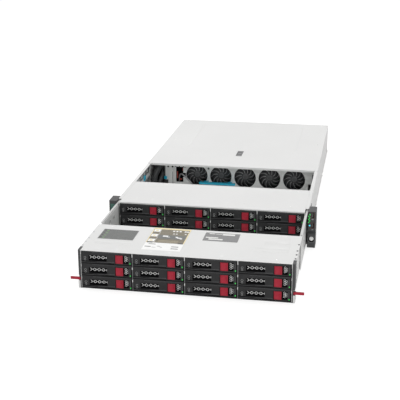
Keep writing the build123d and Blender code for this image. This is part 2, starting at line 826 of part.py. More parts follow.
def carrier_frame():
    z0 = bezel_seam
    z1 = bezel_seam + bezel_height
    front = slab(-bezel_width / 2, bezel_width / 2, 0, bezel_depth, z0, z1)
    front -= slab(across(window_left), across(window_right), -1, 3.0, z0 + 7.2, z1 - 5.4)
    pocket = strip(across(latch_left), across(grille_right), z0 + latch_low_margin, z1 - latch_high_margin)
    front -= run_back(pocket, -1, latch_pocket)
    groove = Polyline((-1, z0 + 3.6), (1.0, z0 + 4.4), (1.0, z0 + 5.0), (-1, z0 + 5.8), close=True)
    cut_length = across(latch_left) - 4 + bezel_width / 2
    front -= extrude(Plane.YZ.offset(-bezel_width / 2 - 1) * make_face(groove), amount=cut_length)
    rail = slab(
        drive_width / 2,
        drive_width / 2 + carrier_rail,
        bezel_depth,
        carrier_rail_length,
        rail_level,
        rail_level + rail_height,
    )
    return front + both_sides(rail)


def drive_block():
    low = (row_pitch - drive_height) / 2
    side = drive_width / 2
    return slab(-side, side, bezel_depth, bezel_depth + drive_length, low, low + drive_height)


def carrier_latch():
    """The red catch of a carrier. Its round left edge turns in place as it swings out."""
    z0 = bezel_seam + latch_low_margin + slip
    z1 = bezel_seam + bezel_height - latch_high_margin - slip
    catch = slab(across(latch_left) + slip, across(latch_right), -latch_nose, latch_pocket - slip, z0, z1)
    uprights = catch.edges().filter_by(Axis.Z).group_by(Axis.X)
    catch = fillet(uprights[0], (latch_pocket - slip + latch_nose) / 2 - 0.05)
    return fillet(catch.edges().filter_by(Axis.Z).group_by(Axis.X)[-1], 1.2)


def write_carriers(cage, y):
    frame, drive, catch = carrier_frame(), drive_block(), carrier_latch()
    for row in range(rows):
        for column in range(columns):
            place = bay_place(y, column, row)
            name = f"{cage}_carrier_{rows - row}{column + 1}"
            if cage == "front" and column == 0:
                save(name, place * frame, place * drive)
                save(f"front_latch_{rows - row}{column + 1}", place * catch)
            else:
                save(name, place * frame, place * drive, place * catch)


save("chassis_tray", *chassis_tray())
save("ear_left", ear_left())
save("ear_right", ear_right())
save("power_button", push_button(power_z))
save("locate_button", push_button(locate_z))
save("steel_fasteners", *steel_fasteners())
save("fan_wall", fan_wall())
save("fan_frames", *[fan_frame(x) for x in fan_centres()])
for number, fan_x in enumerate(fan_centres(), start=1):
    save(f"fan_impeller_{number}", fan_impeller(fan_x))
save("slide_rails", *both_sides(slide_rail()))
save("touch_points", *touch_points())
save("cable_duct", cable_duct())
save("signal_cable", *signal_cable())
save("system_board", system_board())
save("memory_modules", *memory_modules())
save("heatsinks", *[heatsink(x, y) for x, y in processor_places])
save("riser_cages", *[riser_cage(x0, x1) for x0, x1 in riser_spans])
for number, level in enumerate(psu_levels, start=1):
    save(f"power_supply_{number}", power_supply(level))
save("main_cover", *main_cover())
save("cover_latch", cover_latch())
save("drawer_frame", drawer_frame())
save("rear_cage", rear_cage())
save("rear_backplane", backplane(rear_cage_y))
save("front_cage", front_cage())
save("front_backplane", backplane(front_cage_y))
save("front_brackets", front_brackets())
save("release_lever_left", release_lever(-1))
save("release_lever_right", release_lever(1))
write_carriers("front", front_cage_y)
write_carriers("rear", rear_cage_y)
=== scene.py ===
import json
import math

import bpy
from mathutils import Matrix, Vector

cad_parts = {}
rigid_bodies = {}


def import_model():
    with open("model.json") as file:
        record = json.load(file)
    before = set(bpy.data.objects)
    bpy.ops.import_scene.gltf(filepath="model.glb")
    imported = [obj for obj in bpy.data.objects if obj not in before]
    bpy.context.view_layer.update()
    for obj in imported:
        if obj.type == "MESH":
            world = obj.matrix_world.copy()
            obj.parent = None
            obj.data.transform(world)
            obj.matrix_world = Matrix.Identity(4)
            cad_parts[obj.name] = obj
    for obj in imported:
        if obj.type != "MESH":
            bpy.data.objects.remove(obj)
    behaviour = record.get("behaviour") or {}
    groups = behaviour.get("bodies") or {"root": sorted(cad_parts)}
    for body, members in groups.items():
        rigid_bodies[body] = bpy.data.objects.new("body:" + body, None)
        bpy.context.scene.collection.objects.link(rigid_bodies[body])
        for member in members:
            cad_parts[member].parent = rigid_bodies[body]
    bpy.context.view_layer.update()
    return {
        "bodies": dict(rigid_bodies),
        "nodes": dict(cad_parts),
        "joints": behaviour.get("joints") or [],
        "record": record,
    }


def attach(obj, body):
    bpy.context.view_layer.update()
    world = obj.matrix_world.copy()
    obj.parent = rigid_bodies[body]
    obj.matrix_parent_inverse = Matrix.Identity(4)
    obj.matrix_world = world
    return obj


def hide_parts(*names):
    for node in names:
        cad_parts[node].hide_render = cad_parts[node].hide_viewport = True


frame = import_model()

nodes = frame["nodes"]
print("frame loaded", len(nodes), "nodes")


# small helpers for modelling; sizes are written in millimetres
def mm(*values):
    return Vector([value * 0.001 for value in values])


def nothingSelected():
    bpy.ops.object.select_all(action="DESELECT")


def pickOnly(piece):
    nothingSelected()
    piece.select_set(True)
    bpy.context.view_layer.objects.active = piece
    return piece


def settle(piece):
    pickOnly(piece)
    bpy.ops.object.transform_apply(location=True, rotation=True, scale=True)
    return piece


def addBlock(name, x, y, z):
    nothingSelected()
    centre = mm(sum(x) / 2, sum(y) / 2, sum(z) / 2)
    bpy.ops.mesh.primitive_cube_add(size=1, location=centre)
    piece = bpy.context.object
    piece.name = name
    piece.scale = mm(x[1] - x[0], y[1] - y[0], z[1] - z[0])
    return settle(piece)


def about(middle, width):
    return middle - width / 2, middle + width / 2


def span(place, low, high):
    return place + low, place + high


def addRound(name, centre, radius, depth, axis="Z", sides=24, tip=None):
    nothingSelected()
    turn = (math.pi / 2, 0, 0) if axis == "Y" else (0, 0, 0)
    bpy.ops.mesh.primitive_cone_add(
        vertices=sides, radius1=radius * 0.001, radius2=(radius if tip is None else tip) * 0.001,
        depth=depth * 0.001, location=mm(*centre), rotation=turn)
    piece = bpy.context.object
    piece.name = name
    return settle(piece)


def useModifier(piece, kind, **settings):
    pickOnly(piece)
    modifier = piece.modifiers.new(kind.title(), kind)
    for key, value in settings.items():
        setattr(modifier, key, value)
    bpy.ops.object.modifier_apply(modifier=modifier.name)
    return piece


def softenEdges(piece, width, rings=2, angle=40):
    return useModifier(piece, "BEVEL", width=width * 0.001, segments=rings,
                       limit_method="ANGLE", angle_limit=math.radians(angle))


def softBlock(name, x, y, z, width, rings):
    return softenEdges(addBlock(name, x, y, z), width, rings)


def cutAway(piece, *cutters):
    for cutter in cutters:
        useModifier(piece, "BOOLEAN", operation="DIFFERENCE", solver="EXACT", object=cutter)
        bpy.data.objects.remove(cutter)
    return piece


def repeatAlong(piece, count, step):
    return useModifier(piece, "ARRAY", count=count, use_relative_offset=False,
                       use_constant_offset=True, constant_offset_displace=mm(*step))


def joinAll(name, pieces):
    pickOnly(pieces[0])
    for piece in pieces[1:]:
        piece.select_set(True)
    if len(pieces) > 1:
        bpy.ops.object.join()
    joined = bpy.context.object
    joined.name = name
    return joined


def copyTo(piece, name, shift=(0, 0, 0)):
    pickOnly(piece)
    bpy.ops.object.duplicate(linked=False)
    twin = bpy.context.object
    twin.name = name
    twin.location = mm(*shift)
    return settle(twin)


def editAll(piece):
    pickOnly(piece)
    bpy.ops.object.mode_set(mode="EDIT")
    bpy.ops.mesh.select_all(action="SELECT")


def leaveEdit():
    bpy.ops.object.mode_set(mode="OBJECT")


def mirrorCopy(piece, name):
    pickOnly(piece)
    bpy.ops.object.duplicate(linked=False)
    twin = bpy.context.object
    twin.name = name
    twin.scale = (-1, 1, 1)
    settle(twin)
    editAll(twin)
    bpy.ops.mesh.normals_make_consistent(inside=False)
    leaveEdit()
    return twin


def pickFaces(piece, test):
    pickOnly(piece)
    bpy.ops.object.mode_set(mode="EDIT")
    bpy.ops.mesh.select_mode(type="FACE")
    bpy.ops.mesh.select_all(action="DESELECT")
    bpy.ops.object.mode_set(mode="OBJECT")
    for face in piece.data.polygons:
        face.select = test(face)
    bpy.ops.object.mode_set(mode="EDIT")


def facing(x=0, y=0, z=0):
    way = Vector((x, y, z))
    return lambda face: face.normal.dot(way) > 0.9


def insetAndPush(piece, test, inset, push):
    pickFaces(piece, test)
    bpy.ops.mesh.inset(thickness=inset * 0.001, use_even_offset=True)
    bpy.ops.mesh.extrude_region_move(TRANSFORM_OT_translate={"value": mm(*push)})
    bpy.ops.object.mode_set(mode="OBJECT")
    return piece


def paint(piece, material):
    piece.data.materials.clear()
    piece.data.materials.append(material)
    return piece


def ridePiece(piece, body):
    pickOnly(piece)
    bpy.ops.object.shade_smooth_by_angle(angle=math.radians(35))
    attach(piece, body)
    return piece


def dress(name, pieces, material, body):
    return ridePiece(paint(joinAll(name, pieces), material), body)


# a flat ring that faces the front: six sides for the chain and comb, more for round ones
def addRing(name, centre, radius, band, depth, sides=6):
    nothingSelected()
    bpy.ops.mesh.primitive_circle_add(
        vertices=sides, radius=radius * 0.001, fill_type="NGON", location=mm(*centre),
        rotation=(math.pi / 2, 0, 0))
    ring = bpy.context.object
    ring.name = name
    settle(ring)
    editAll(ring)
    bpy.ops.mesh.inset(thickness=band * 0.001)
    bpy.ops.mesh.delete(type="FACE")
    bpy.ops.mesh.select_all(action="SELECT")
    bpy.ops.mesh.extrude_region_move(TRANSFORM_OT_translate={"value": mm(0, depth, 0)})
    bpy.ops.mesh.select_all(action="SELECT")
    bpy.ops.mesh.normals_make_consistent(inside=False)
    bpy.ops.object.mode_set(mode="OBJECT")
    return ring


def smoothLine(name, places, radius, rings):
    line = bpy.data.curves.new(name, "CURVE")
    line.dimensions = "3D"
    line.bevel_depth = radius * 0.001
    line.bevel_resolution = rings
    spline = line.splines.new("NURBS")
    spline.points.add(len(places) - 1)
    for point, place in zip(spline.points, places):
        point.co = (*mm(*place), 1)
    spline.order_u = 3
    spline.use_endpoint_u = True
    cord = bpy.data.objects.new(name, line)
    bpy.context.scene.collection.objects.link(cord)
    return cord


# floor, background, lamps and camera
studio = {
    "floorColour": (0.50, 0.50, 0.497, 1),
    "floorLift": 0.72,
    "skyStrength": 0.58,
    "keyPower": 42,
    "keyPlace": (-0.4, 0.9, 3.0),
    "keySize": 2.6,
    "fillPower": 28,
    "fillPlace": (0.9, -3.2, 1.05),
    "fillSize": 2.0,
    "aim": (0, 0.1, 0),
    "floorSize": 14,
    "floorPlace": (0, 0.2, -0.0004),
}
lens = {
    "place": (349.9, -2066.7, 791.8),
    "turn": 10.44,
    "down": 18.542,
    "roll": -0.185,
    "focal": 85.29,
    "shift": (-0.0009, 0.0005),
}


def addNode(tree, kind, inputs=None, **settings):
    node = tree.nodes.new("ShaderNode" + kind)
    for key, value in settings.items():
        setattr(node, key, value)
    for key, value in (inputs or {}).items():
        node.inputs[key].default_value = value
    return node


def seenRays(tree):
    path = addNode(tree, "LightPath")
    seen = addNode(tree, "Math", operation="MAXIMUM")
    seenThrough = addNode(tree, "Math", operation="MAXIMUM")
    tree.links.new(path.outputs["Is Camera Ray"], seen.inputs[0])
    tree.links.new(path.outputs["Is Glossy Ray"], seen.inputs[1])
    tree.links.new(seen.outputs[0], seenThrough.inputs[0])
    tree.links.new(path.outputs["Is Transmission Ray"], seenThrough.inputs[1])
    return seenThrough.outputs[0]


def buildStudio():
    scene = bpy.context.scene
    scene.view_settings.view_transform = "Standard"
    world = bpy.data.worlds.new("studioSky")
    scene.world = world
    world.use_nodes = True
    tree = world.node_tree
    tree.nodes.clear()
    sky = addNode(tree, "Background", {"Strength": studio["skyStrength"], "Color": (1, 1, 1, 1)})
    backdrop = addNode(tree, "Background", {"Strength": 1.0, "Color": (1, 1, 1, 1)})
    mix = addNode(tree, "MixShader")
    tree.links.new(seenRays(tree), mix.inputs[0])
    tree.links.new(sky.outputs[0], mix.inputs[1])
    tree.links.new(backdrop.outputs[0], mix.inputs[2])
    out = addNode(tree, "OutputWorld")
    tree.links.new(mix.outputs[0], out.inputs["Surface"])

    nothingSelected()
    bpy.ops.mesh.primitive_plane_add(size=studio["floorSize"], location=studio["floorPlace"])
    floor = bpy.context.object
    floor.name = "studioFloor"
    pale = bpy.data.materials.new("studioFloorPaint")
    pale.use_nodes = True
    tree = pale.node_tree
    tree.nodes.clear()
    base = addNode(tree, "BsdfDiffuse", {"Color": studio["floorColour"]})
    lift = addNode(tree, "Math", {1: studio["floorLift"]}, operation="MULTIPLY")
    tree.links.new(seenRays(tree), lift.inputs[0])
    glow = addNode(tree, "Emission")
    tree.links.new(lift.outputs[0], glow.inputs["Strength"])
    both = addNode(tree, "AddShader")
    tree.links.new(base.outputs[0], both.inputs[0])
    tree.links.new(glow.outputs[0], both.inputs[1])
    out = addNode(tree, "OutputMaterial")
    tree.links.new(both.outputs[0], out.inputs["Surface"])
    floor.data.materials.append(pale)

    for name in ("key", "fill"):
        nothingSelected()
        bpy.ops.object.light_add(type="AREA", location=studio[name + "Place"])
        lamp = bpy.context.object
        lamp.name = name + "Lamp"
        lamp.data.energy = studio[name + "Power"]
        lamp.data.size = studio[name + "Size"]
        aim = Vector(studio["aim"]) - lamp.location
        lamp.rotation_euler = aim.to_track_quat("-Z", "Y").to_euler()

    nothingSelected()
    bpy.ops.object.camera_add(location=mm(*lens["place"]))
    camera = bpy.context.object
    camera.name = "photoCamera"
    turn = Matrix.Rotation(math.radians(lens["turn"]), 3, "Z")
    tilt = Matrix.Rotation(math.radians(90 - lens["down"]), 3, "X")
    roll = Matrix.Rotation(math.radians(lens["roll"]), 3, "Z")
    camera.rotation_euler = (turn @ tilt @ roll).to_euler()
    camera.data.sensor_width = 36
    camera.data.lens = lens["focal"]
    camera.data.shift_x, camera.data.shift_y = lens["shift"]
    camera.data.clip_start = 0.05
    scene.camera = camera


buildStudio()
print("studio ready")


# finishes; every one varies over the surface through its nodes
def newFinish(name):
    material = bpy.data.materials.new(name)
    material.use_nodes = True
    tree = material.node_tree
    shader = tree.nodes["Principled BSDF"]
    return material, tree, shader, addNode(tree, "TexCoord")


def stretched(tree, place, scale):
    mapping = addNode(tree, "Mapping", {"Scale": scale})
    tree.links.new(place.outputs["Object"], mapping.inputs["Vector"])
    return mapping.outputs["Vector"]


def noiseOf(tree, vector, scale, detail=4.0):
    noise = addNode(tree, "TexNoise", {"Scale": scale, "Detail": detail})
    tree.links.new(vector, noise.inputs["Vector"])
    return noise.outputs["Fac"]


def rampOf(tree, factor, stops):
    ramp = addNode(tree, "ValToRGB")
    ramp.color_ramp.elements[0].position = stops[0][0]
    ramp.color_ramp.elements[0].color = (*stops[0][1], 1)
    ramp.color_ramp.elements[1].position = stops[-1][0]
    ramp.color_ramp.elements[1].color = (*stops[-1][1], 1)
    for position, colour in stops[1:-1]:
        ramp.color_ramp.elements.new(position).color = (*colour, 1)
    tree.links.new(factor, ramp.inputs["Fac"])
    return ramp.outputs["Color"]


def spread(tree, value, low, high):
    remap = addNode(tree, "MapRange", {"To Min": low, "To Max": high})
    tree.links.new(value, remap.inputs["Value"])
    return remap.outputs["Result"]


def bumpInto(tree, shader, height, strength, distance):
    bump = addNode(tree, "Bump", {"Strength": strength, "Distance": distance})
    tree.links.new(height, bump.inputs["Height"])
    tree.links.new(bump.outputs["Normal"], shader.inputs["Normal"])


def shade(colour, factor):
    return tuple(min(1.0, channel * factor) for channel in colour)


def surfaceFinish(name, colour, rough, metal=0.0, mottle=0.06, mottleScale=9.0, grain=900.0,
                  grainDepth=0.00002, grainShape=(1, 1, 1), roughSpread=0.06, gloss=0.5):
    material, tree, shader, place = newFinish(name)
    broad = noiseOf(tree, stretched(tree, place, (1, 1, 1)), mottleScale)
    colours = rampOf(tree, broad, [(0.3, shade(colour, 1 - mottle)), (0.7, shade(colour, 1 + mottle))])
    tree.links.new(colours, shader.inputs["Base Color"])
    tree.links.new(spread(tree, broad, rough - roughSpread, rough + roughSpread), shader.inputs["Roughness"])
    shader.inputs["Metallic"].default_value = metal
    shader.inputs["Specular IOR Level"].default_value = gloss
    fine = noiseOf(tree, stretched(tree, place, grainShape), grain, 2.0)
    bumpInto(tree, shader, fine, 0.35, grainDepth)
    return material


def glowFinish(name, colour, strength):
    material, tree, shader, place = newFinish(name)
    cloudy = noiseOf(tree, stretched(tree, place, (1, 1, 1)), 700)
    for name in ("Base Color", "Emission Color"):
        colours = rampOf(tree, cloudy, [(0.3, shade(colour, 0.75)), (0.7, colour)])
        tree.links.new(colours, shader.inputs[name])
    shader.inputs["Emission Strength"].default_value = strength
    shader.inputs["Roughness"].default_value = 0.3
    return material


def boardFinish(name, colour, traceColour):
    material, tree, shader, place = newFinish(name)
    flat = stretched(tree, place, (1, 1, 1))
    traces = addNode(tree, "TexBrick", {
        "Scale": 55, "Mortar Size": 0.035, "Color1": (*colour, 1), "Color2": (*shade(colour, 1.5), 1),
        "Mortar": (*traceColour, 1)})
    tree.links.new(flat, traces.inputs["Vector"])
    tree.links.new(traces.outputs["Color"], shader.inputs["Base Color"])
    broad = noiseOf(tree, flat, 60)
    tree.links.new(spread(tree, broad, 0.3, 0.5), shader.inputs["Roughness"])
    bumpInto(tree, shader, traces.outputs["Fac"], 0.4, 0.00008)
    return material


finishColours = {
    "sheet": (0.755, 0.755, 0.748),
    "innerSheet": (0.60, 0.60, 0.595),
    "zinc": (0.55, 0.56, 0.57),
    "blackPlastic": (0.034, 0.035, 0.037),
    "carrier": (0.030, 0.030, 0.031),
    "deepBlack": (0.0025, 0.0025, 0.003),
    "latchRed": (0.42, 0.020, 0.042),
    "chrome": (0.85, 0.85, 0.84),
    "greyPlastic": (0.12, 0.122, 0.125),
    "blade": (0.072, 0.073, 0.076),
    "bladeHighlight": (0.42, 0.422, 0.43),
    "blue": (0.02, 0.47, 0.68),
    "ridge": (0.062, 0.062, 0.064),
    "dividerShadeGrey": (0.15, 0.15, 0.152),
}
# after the colour: roughness, metal, mottle, its scale, then the grain's scale and depth
sheetPaint = surfaceFinish("sheetPaint", finishColours["sheet"], 0.46, 0.06, 0.022, 5.0, 1500, 0.00001,
                           roughSpread=0.05)
sheetInner = surfaceFinish("sheetInner", finishColours["innerSheet"], 0.40, 0.25, 0.05, 12.0, 1200, 0.00001)
zincPlate = surfaceFinish("zincPlate", finishColours["zinc"], 0.34, 0.85, 0.12, 26.0, 500, 0.00001)
brushedSteel = surfaceFinish("brushedSteel", (0.72, 0.72, 0.71), 0.28, 1.0, 0.08, 60.0, 260, 0.00002, (1, 14, 14))
finMetal = surfaceFinish("finMetal", (0.74, 0.75, 0.77), 0.32, 0.95, 0.06, 30.0, 300, 0.00001, (1, 1, 12))
blackMoulded = surfaceFinish("blackMoulded", finishColours["blackPlastic"], 0.48, 0.0, 0.18, 40.0, 1400, 0.00004)
carrierPlastic = surfaceFinish("carrierPlastic", finishColours["carrier"], 0.46, 0.0, 0.16, 55.0, 1500, 0.00003,
                               gloss=0.18)
# ridge plastic is lighter than the carrier plastic: painted highlight on the bezel ridges, and the light bar's own grey
ridgePlastic = surfaceFinish("ridgePlastic", finishColours["ridge"], 0.42, 0.0, 0.16, 55.0, 1500, 0.00002,
                             gloss=0.3)
deepBlack = surfaceFinish("deepBlack", finishColours["deepBlack"], 0.6, 0.0, 0.3, 80.0, 900, 0.00003, gloss=0.05)
latchPlastic = surfaceFinish("latchPlastic", finishColours["latchRed"], 0.42, 0.0, 0.09, 70.0, 1300, 0.00002,
                             gloss=0.3)
silverTrim = surfaceFinish("silverTrim", finishColours["chrome"], 0.35, 0.15, 0.10, 200.0, 900, 0.00001)
greyMoulded = surfaceFinish("greyMoulded", finishColours["greyPlastic"], 0.45, 0.0, 0.12, 50.0, 1200, 0.00003)
bladePlastic = surfaceFinish("bladePlastic", finishColours["blade"], 0.36, 0.0, 0.15, 60.0, 900, 0.00002)
# pale plastic of painted highlight on the fan blades' leading edges
bladeHighlight = surfaceFinish("bladeHighlight", finishColours["bladeHighlight"], 0.3, 0.0, 0.2, 90.0, 900, 0.00002)
bluePlastic = surfaceFinish("bluePlastic", finishColours["blue"], 0.40, 0.0, 0.10, 40.0, 1200, 0.00002)
paleMark = surfaceFinish("paleMark", (0.30, 0.30, 0.30), 0.6, 0.0, 0.15, 300.0, 1500, 0.00001)
jacketGrey = surfaceFinish("jacketGrey", (0.42, 0.42, 0.43), 0.55, 0.0, 0.10, 120.0, 900, 0.00003)
orangePlastic = surfaceFinish("orangePlastic", (0.42, 0.075, 0.055), 0.5, 0.0, 0.10, 80.0, 900, 0.00002)
chipBlack = surfaceFinish("chipBlack", (0.02, 0.02, 0.022), 0.5, 0.0, 0.2, 150.0, 1200, 0.00003)
boardGreen = boardFinish("boardGreen", (0.012, 0.085, 0.035), (0.03, 0.17, 0.07))
# dark grey of painted shade on the divider edges
dividerShadeGrey = surfaceFinish("dividerShadeGrey", finishColours["dividerShadeGrey"], 0.45, 0.3, 0.12, 60.0, 1200, 0.00001)
greenGlow = glowFinish("greenGlow", (0.02, 0.75, 0.08), 1.0)
dimGreen = glowFinish("dimGreen", (0.03, 0.50, 0.07), 0.45)
cyanGlow = glowFinish("cyanGlow", (0.05, 0.65, 0.85), 1.0)
print("finishes ready")

# CAD nodes that show as they are
nodeFinish = {
    "chassis_tray": sheetPaint, "main_cover": sheetPaint, "front_cage": sheetPaint, "rear_cage": sheetPaint,
    "drawer_frame": sheetInner, "fan_wall": sheetPaint, "slide_rails": zincPlate, "riser_cages": zincPlate,
    "power_supply_1": zincPlate, "power_supply_2": zincPlate, "ear_left": blackMoulded, "ear_right": blackMoulded,
    "front_brackets": blackMoulded, "cable_duct": blackMoulded, "fan_frames": blackMoulded,
    "cover_latch": greyMoulded, "power_button": greyMoulded, "locate_button": greyMoulded,
    "release_lever_left": latchPlastic, "release_lever_right": latchPlastic, "touch_points": bluePlastic,
    "signal_cable": jacketGrey, "system_board": boardGreen, "memory_modules": boardGreen,
    "front_backplane": boardGreen, "rear_backplane": boardGreen, "heatsinks": finMetal,
    "steel_fasteners": brushedSteel,
}
for nodeName, node in nodes.items():
    if nodeName.startswith("fan_impeller"):
        paint(node, bladePlastic)
    elif "carrier" in nodeName:
        paint(node, carrierPlastic)
    elif nodeName.startswith("front_latch"):
        paint(node, latchPlastic)
    else:
        paint(node, nodeFinish[nodeName])

# drive carriers: one is modelled in place of a bay whose lower front edge is at the origin
bay = {
    "columns": 4, "rows": 3, "width": 106.75, "divider": 1.0, "pitch": 26.9, "floor": 1.9,
    "frontY": -345.5, "rearY": -40.5,
}
carrier = {
    "halfWidth": 53.1, "low": 0.2, "high": 26.7, "depth": 6.2,
    "window": (-37.8, 0.4, 5.6, 18.3), "windowDepth": 3.0,
    "pocket": (17.5, 45.3, 3.2, 21.4), "pocketDepth": 4.0,
    "chainRadius": 3.2, "chainBand": 0.72, "chainPitch": 9.2, "chainZ": 14.1, "chainX": -34.7,
    "combRadius": 2.3, "combBand": 0.48, "combTop": 18.4,
    "latch": (18.3, 34.0, 3.6, 20.9),
    "barX": (47.6, 49.9), "iconX": (-47.6, -42.6), "iconZ": (6.2, 15.2),
    "driveHalf": 50.8, "driveBack": 153.2, "driveLow": 0.4, "driveHigh": 26.5,
    "railHalf": 52.8, "railBack": 150.0, "railZ": (4.0, 16.0), "railSlots": (22, 62, 102),
    "screwX": 45.5, "screwY": (16, 60, 104, 146),
    # start and end in x, their heights, their half widths
    "ridges": [(-52.4, 16.5, 2.0, 5.4, 0.45, 1.25), (-52.4, 16.5, 5.4, 1.9, 0.95, 0.40),
               (-30.0, 52.4, 24.6, 25.4, 0.9, 0.3)],
}


def buildBezel():
    c = carrier
    bezel = addBlock("bezelWork", (-c["halfWidth"], c["halfWidth"]), (0, c["depth"]), (c["low"], c["high"]))
    x0, x1, z0, z1 = c["window"]
    window = addBlock("windowCut", (x0, x1), (-1, c["windowDepth"]), (z0, z1))
    x0, x1, z0, z1 = c["pocket"]
    pocket = addBlock("pocketCut", (x0, x1), (-1, c["pocketDepth"]), (z0, z1))
    cutAway(bezel, window, pocket)
    softenEdges(bezel, 0.35, 2)
    # crossing ridges along the lower edge, thick at one end and thin at the other; the lighter ones are painted
    # highlight, the black one painted shade
    ridges = []
    for number, (start, end, startZ, endZ, startHalf, endHalf) in enumerate(c["ridges"]):
        ridge = addBlock(f"ridge{number}", (start, end), (-0.55, 0.2), (0, 1))
        for vertex in ridge.data.vertices:
            atEnd = vertex.co.x > 0.001 * (start + end) / 2
            middle, half = (endZ, endHalf) if atEnd else (startZ, startHalf)
            crest = 0.45 if vertex.co.y < 0 else 1
            vertex.co.z = 0.001 * (middle + (half if vertex.co.z > 0.0005 else -half) * crest)
        softenEdges(ridge, 0.12, 1)
        ridges.append(ridge)
    # black strips of painted shade along the lower seam and the right edge
    seam = addBlock("seamShade", (-52.9, 52.9), (-0.06, 0.3), (0.3, 1.5))
    edge = addBlock("edgeShade", (51.0, 53.0), (-0.08, 0.3), (1.6, 26.2))
    paint(bezel, carrierPlastic)
    for piece in ridges:
        paint(piece, ridgePlastic)
    for piece in (ridges[1], seam, edge):
        softenEdges(paint(piece, deepBlack), 0.05, 1)
    return [bezel, *ridges, seam, edge]


def buildWindow():
    c = carrier
    x0, x1, z0, z1 = c["window"]
    back = addBlock("windowBack", (x0 + 0.1, x1 - 0.1), (2.4, 3.2), (z0 + 0.1, z1 - 0.1))
    insetAndPush(back, facing(y=-1), 0.8, (0, 0.3, 0))
    paint(back, deepBlack)
    teeth = softBlock("windowTooth", span(x0, 1.2, 2.2), (1.3, 2.6), span(z0, 0.2, 2.2), 0.2, 1)
    repeatAlong(teeth, 16, (2.3, 0, 0))
    paint(teeth, deepBlack)
    chain = addRing("chainLink", (c["chainX"], 0.7, c["chainZ"]), c["chainRadius"], c["chainBand"], 0.35)
    repeatAlong(chain, 5, (c["chainPitch"], 0, 0))
    middle = c["chainX"] + c["chainPitch"] / 2
    bar = addBlock("chainBar", about(middle, 3.2), (0.7, 1.05), about(c["chainZ"], 0.7))
    chain = joinAll("chainLink", [chain, repeatAlong(bar, 4, (c["chainPitch"], 0, 0))])
    # the end links are cut open
    editAll(chain)
    bpy.ops.mesh.bisect(plane_co=mm(c["chainX"] - 0.3, 0, 0), plane_no=(1, 0, 0), clear_inner=True, use_fill=True)
    bpy.ops.mesh.select_all(action="SELECT")
    bpy.ops.mesh.bisect(plane_co=mm(x1 - 0.1, 0, 0), plane_no=(1, 0, 0), clear_outer=True, use_fill=True)
    leaveEdit()
    paint(chain, silverTrim)
    return [back, teeth, chain]


def buildComb():
    c = carrier
    _, x1, z0, z1 = c["pocket"]
    floorPlate = addBlock("combFloor", (36.2, x1 - 0.2), (3.0, 4.1), (z0 + 0.2, z1 - 0.2))
    insetAndPush(floorPlate, facing(y=-1), 0.7, (0, 0.3, 0))
    paint(floorPlate, deepBlack)
    rings = []
    step = c["combRadius"] * 1.95
    top = c["combTop"]
    for number, (x, z) in enumerate([(39.7, top), (39.7, top - step), (39.7, top - 2 * step),
                                     (43.4, top - step / 2), (43.4, top - 1.5 * step)]):
        rings.append(addRing(f"comb{number}", (x, 1.2, z), c["combRadius"], c["combBand"], 0.35))
    comb = joinAll("combRings", rings)
    paint(comb, silverTrim)
    return [floorPlate, comb]


def buildMarks():
    c = carrier
    x0, x1 = c["barX"]
    bar = softBlock("lightBar", (x0, x1 - 0.4), (-0.25, 0.5), (8.0, 20.5), 0.2, 1)
    paint(bar, ridgePlastic)
    lamp = softBlock("statusLamp", (x0 + 0.5, x1 + 0.4), (-0.45, 0.5), (3.6, 6.4), 0.35, 2)
    paint(lamp, dimGreen)
    x0, x1 = c["iconX"]
    z0, z1 = c["iconZ"]
    middle = (x0 + x1) / 2
    icon = joinAll("driveIcon", [
        addRing("iconLoop", (middle, -0.15, z1 - 2.4), 2.4, 0.6, 0.4, 14),
        addRing("iconFoot", (middle, -0.15, z0 + 2.0), 2.0, 0.6, 0.4, 14),
        addBlock("iconStem", about(middle, 0.8), (-0.15, 0.25), (z0 + 3.6, z1 - 4.6))])
    softenEdges(icon, 0.08, 1)
    paint(icon, paleMark)
    return [bar, lamp, icon]


def buildLatch():
    c = carrier
    x0, x1, z0, z1 = c["latch"]
    latch = addBlock("latchWork", (x0, x1), (-0.6, 3.7), (z0, z1))
    # round left edge, then a thumb rest pressed into the face
    pickOnly(latch)
    bpy.ops.object.mode_set(mode="EDIT")
    bpy.ops.mesh.select_mode(type="EDGE")
    bpy.ops.mesh.select_all(action="DESELECT")
    bpy.ops.object.mode_set(mode="OBJECT")
    points = latch.data.vertices
    for edge in latch.data.edges:
        ends = [points[index].co for index in edge.vertices]
        upright = abs(ends[0].x - ends[1].x) + abs(ends[0].y - ends[1].y) < 1e-6
        edge.select = upright and ends[0].x < 0.001 * (x0 + 1)
    bpy.ops.object.mode_set(mode="EDIT")
    bpy.ops.mesh.bevel(offset=0.0021, segments=4)
    bpy.ops.object.mode_set(mode="OBJECT")
    insetAndPush(latch, facing(y=-1), 1.6, (0, 0.35, 0))
    softenEdges(latch, 0.3, 2)
    grip = softBlock("latchGrip", span(x1, -4.6, -3.8), (-0.75, 0.2), (z0 + 3.2, z1 - 3.2), 0.2, 1)
    repeatAlong(grip, 2, (1.6, 0, 0))
    latch = paint(joinAll("latchWork", [latch, grip]), latchPlastic)
    # a black strip at the latch's right edge: painted shade in the gap beside the comb
    gapShade = softBlock("latchGapShade", span(x1, -0.2, 1.5), (1.2, 3.7), (z0 + 0.6, z1 - 0.6), 0.3, 2)
    return joinAll("latchWork", [latch, paint(gapShade, deepBlack)])


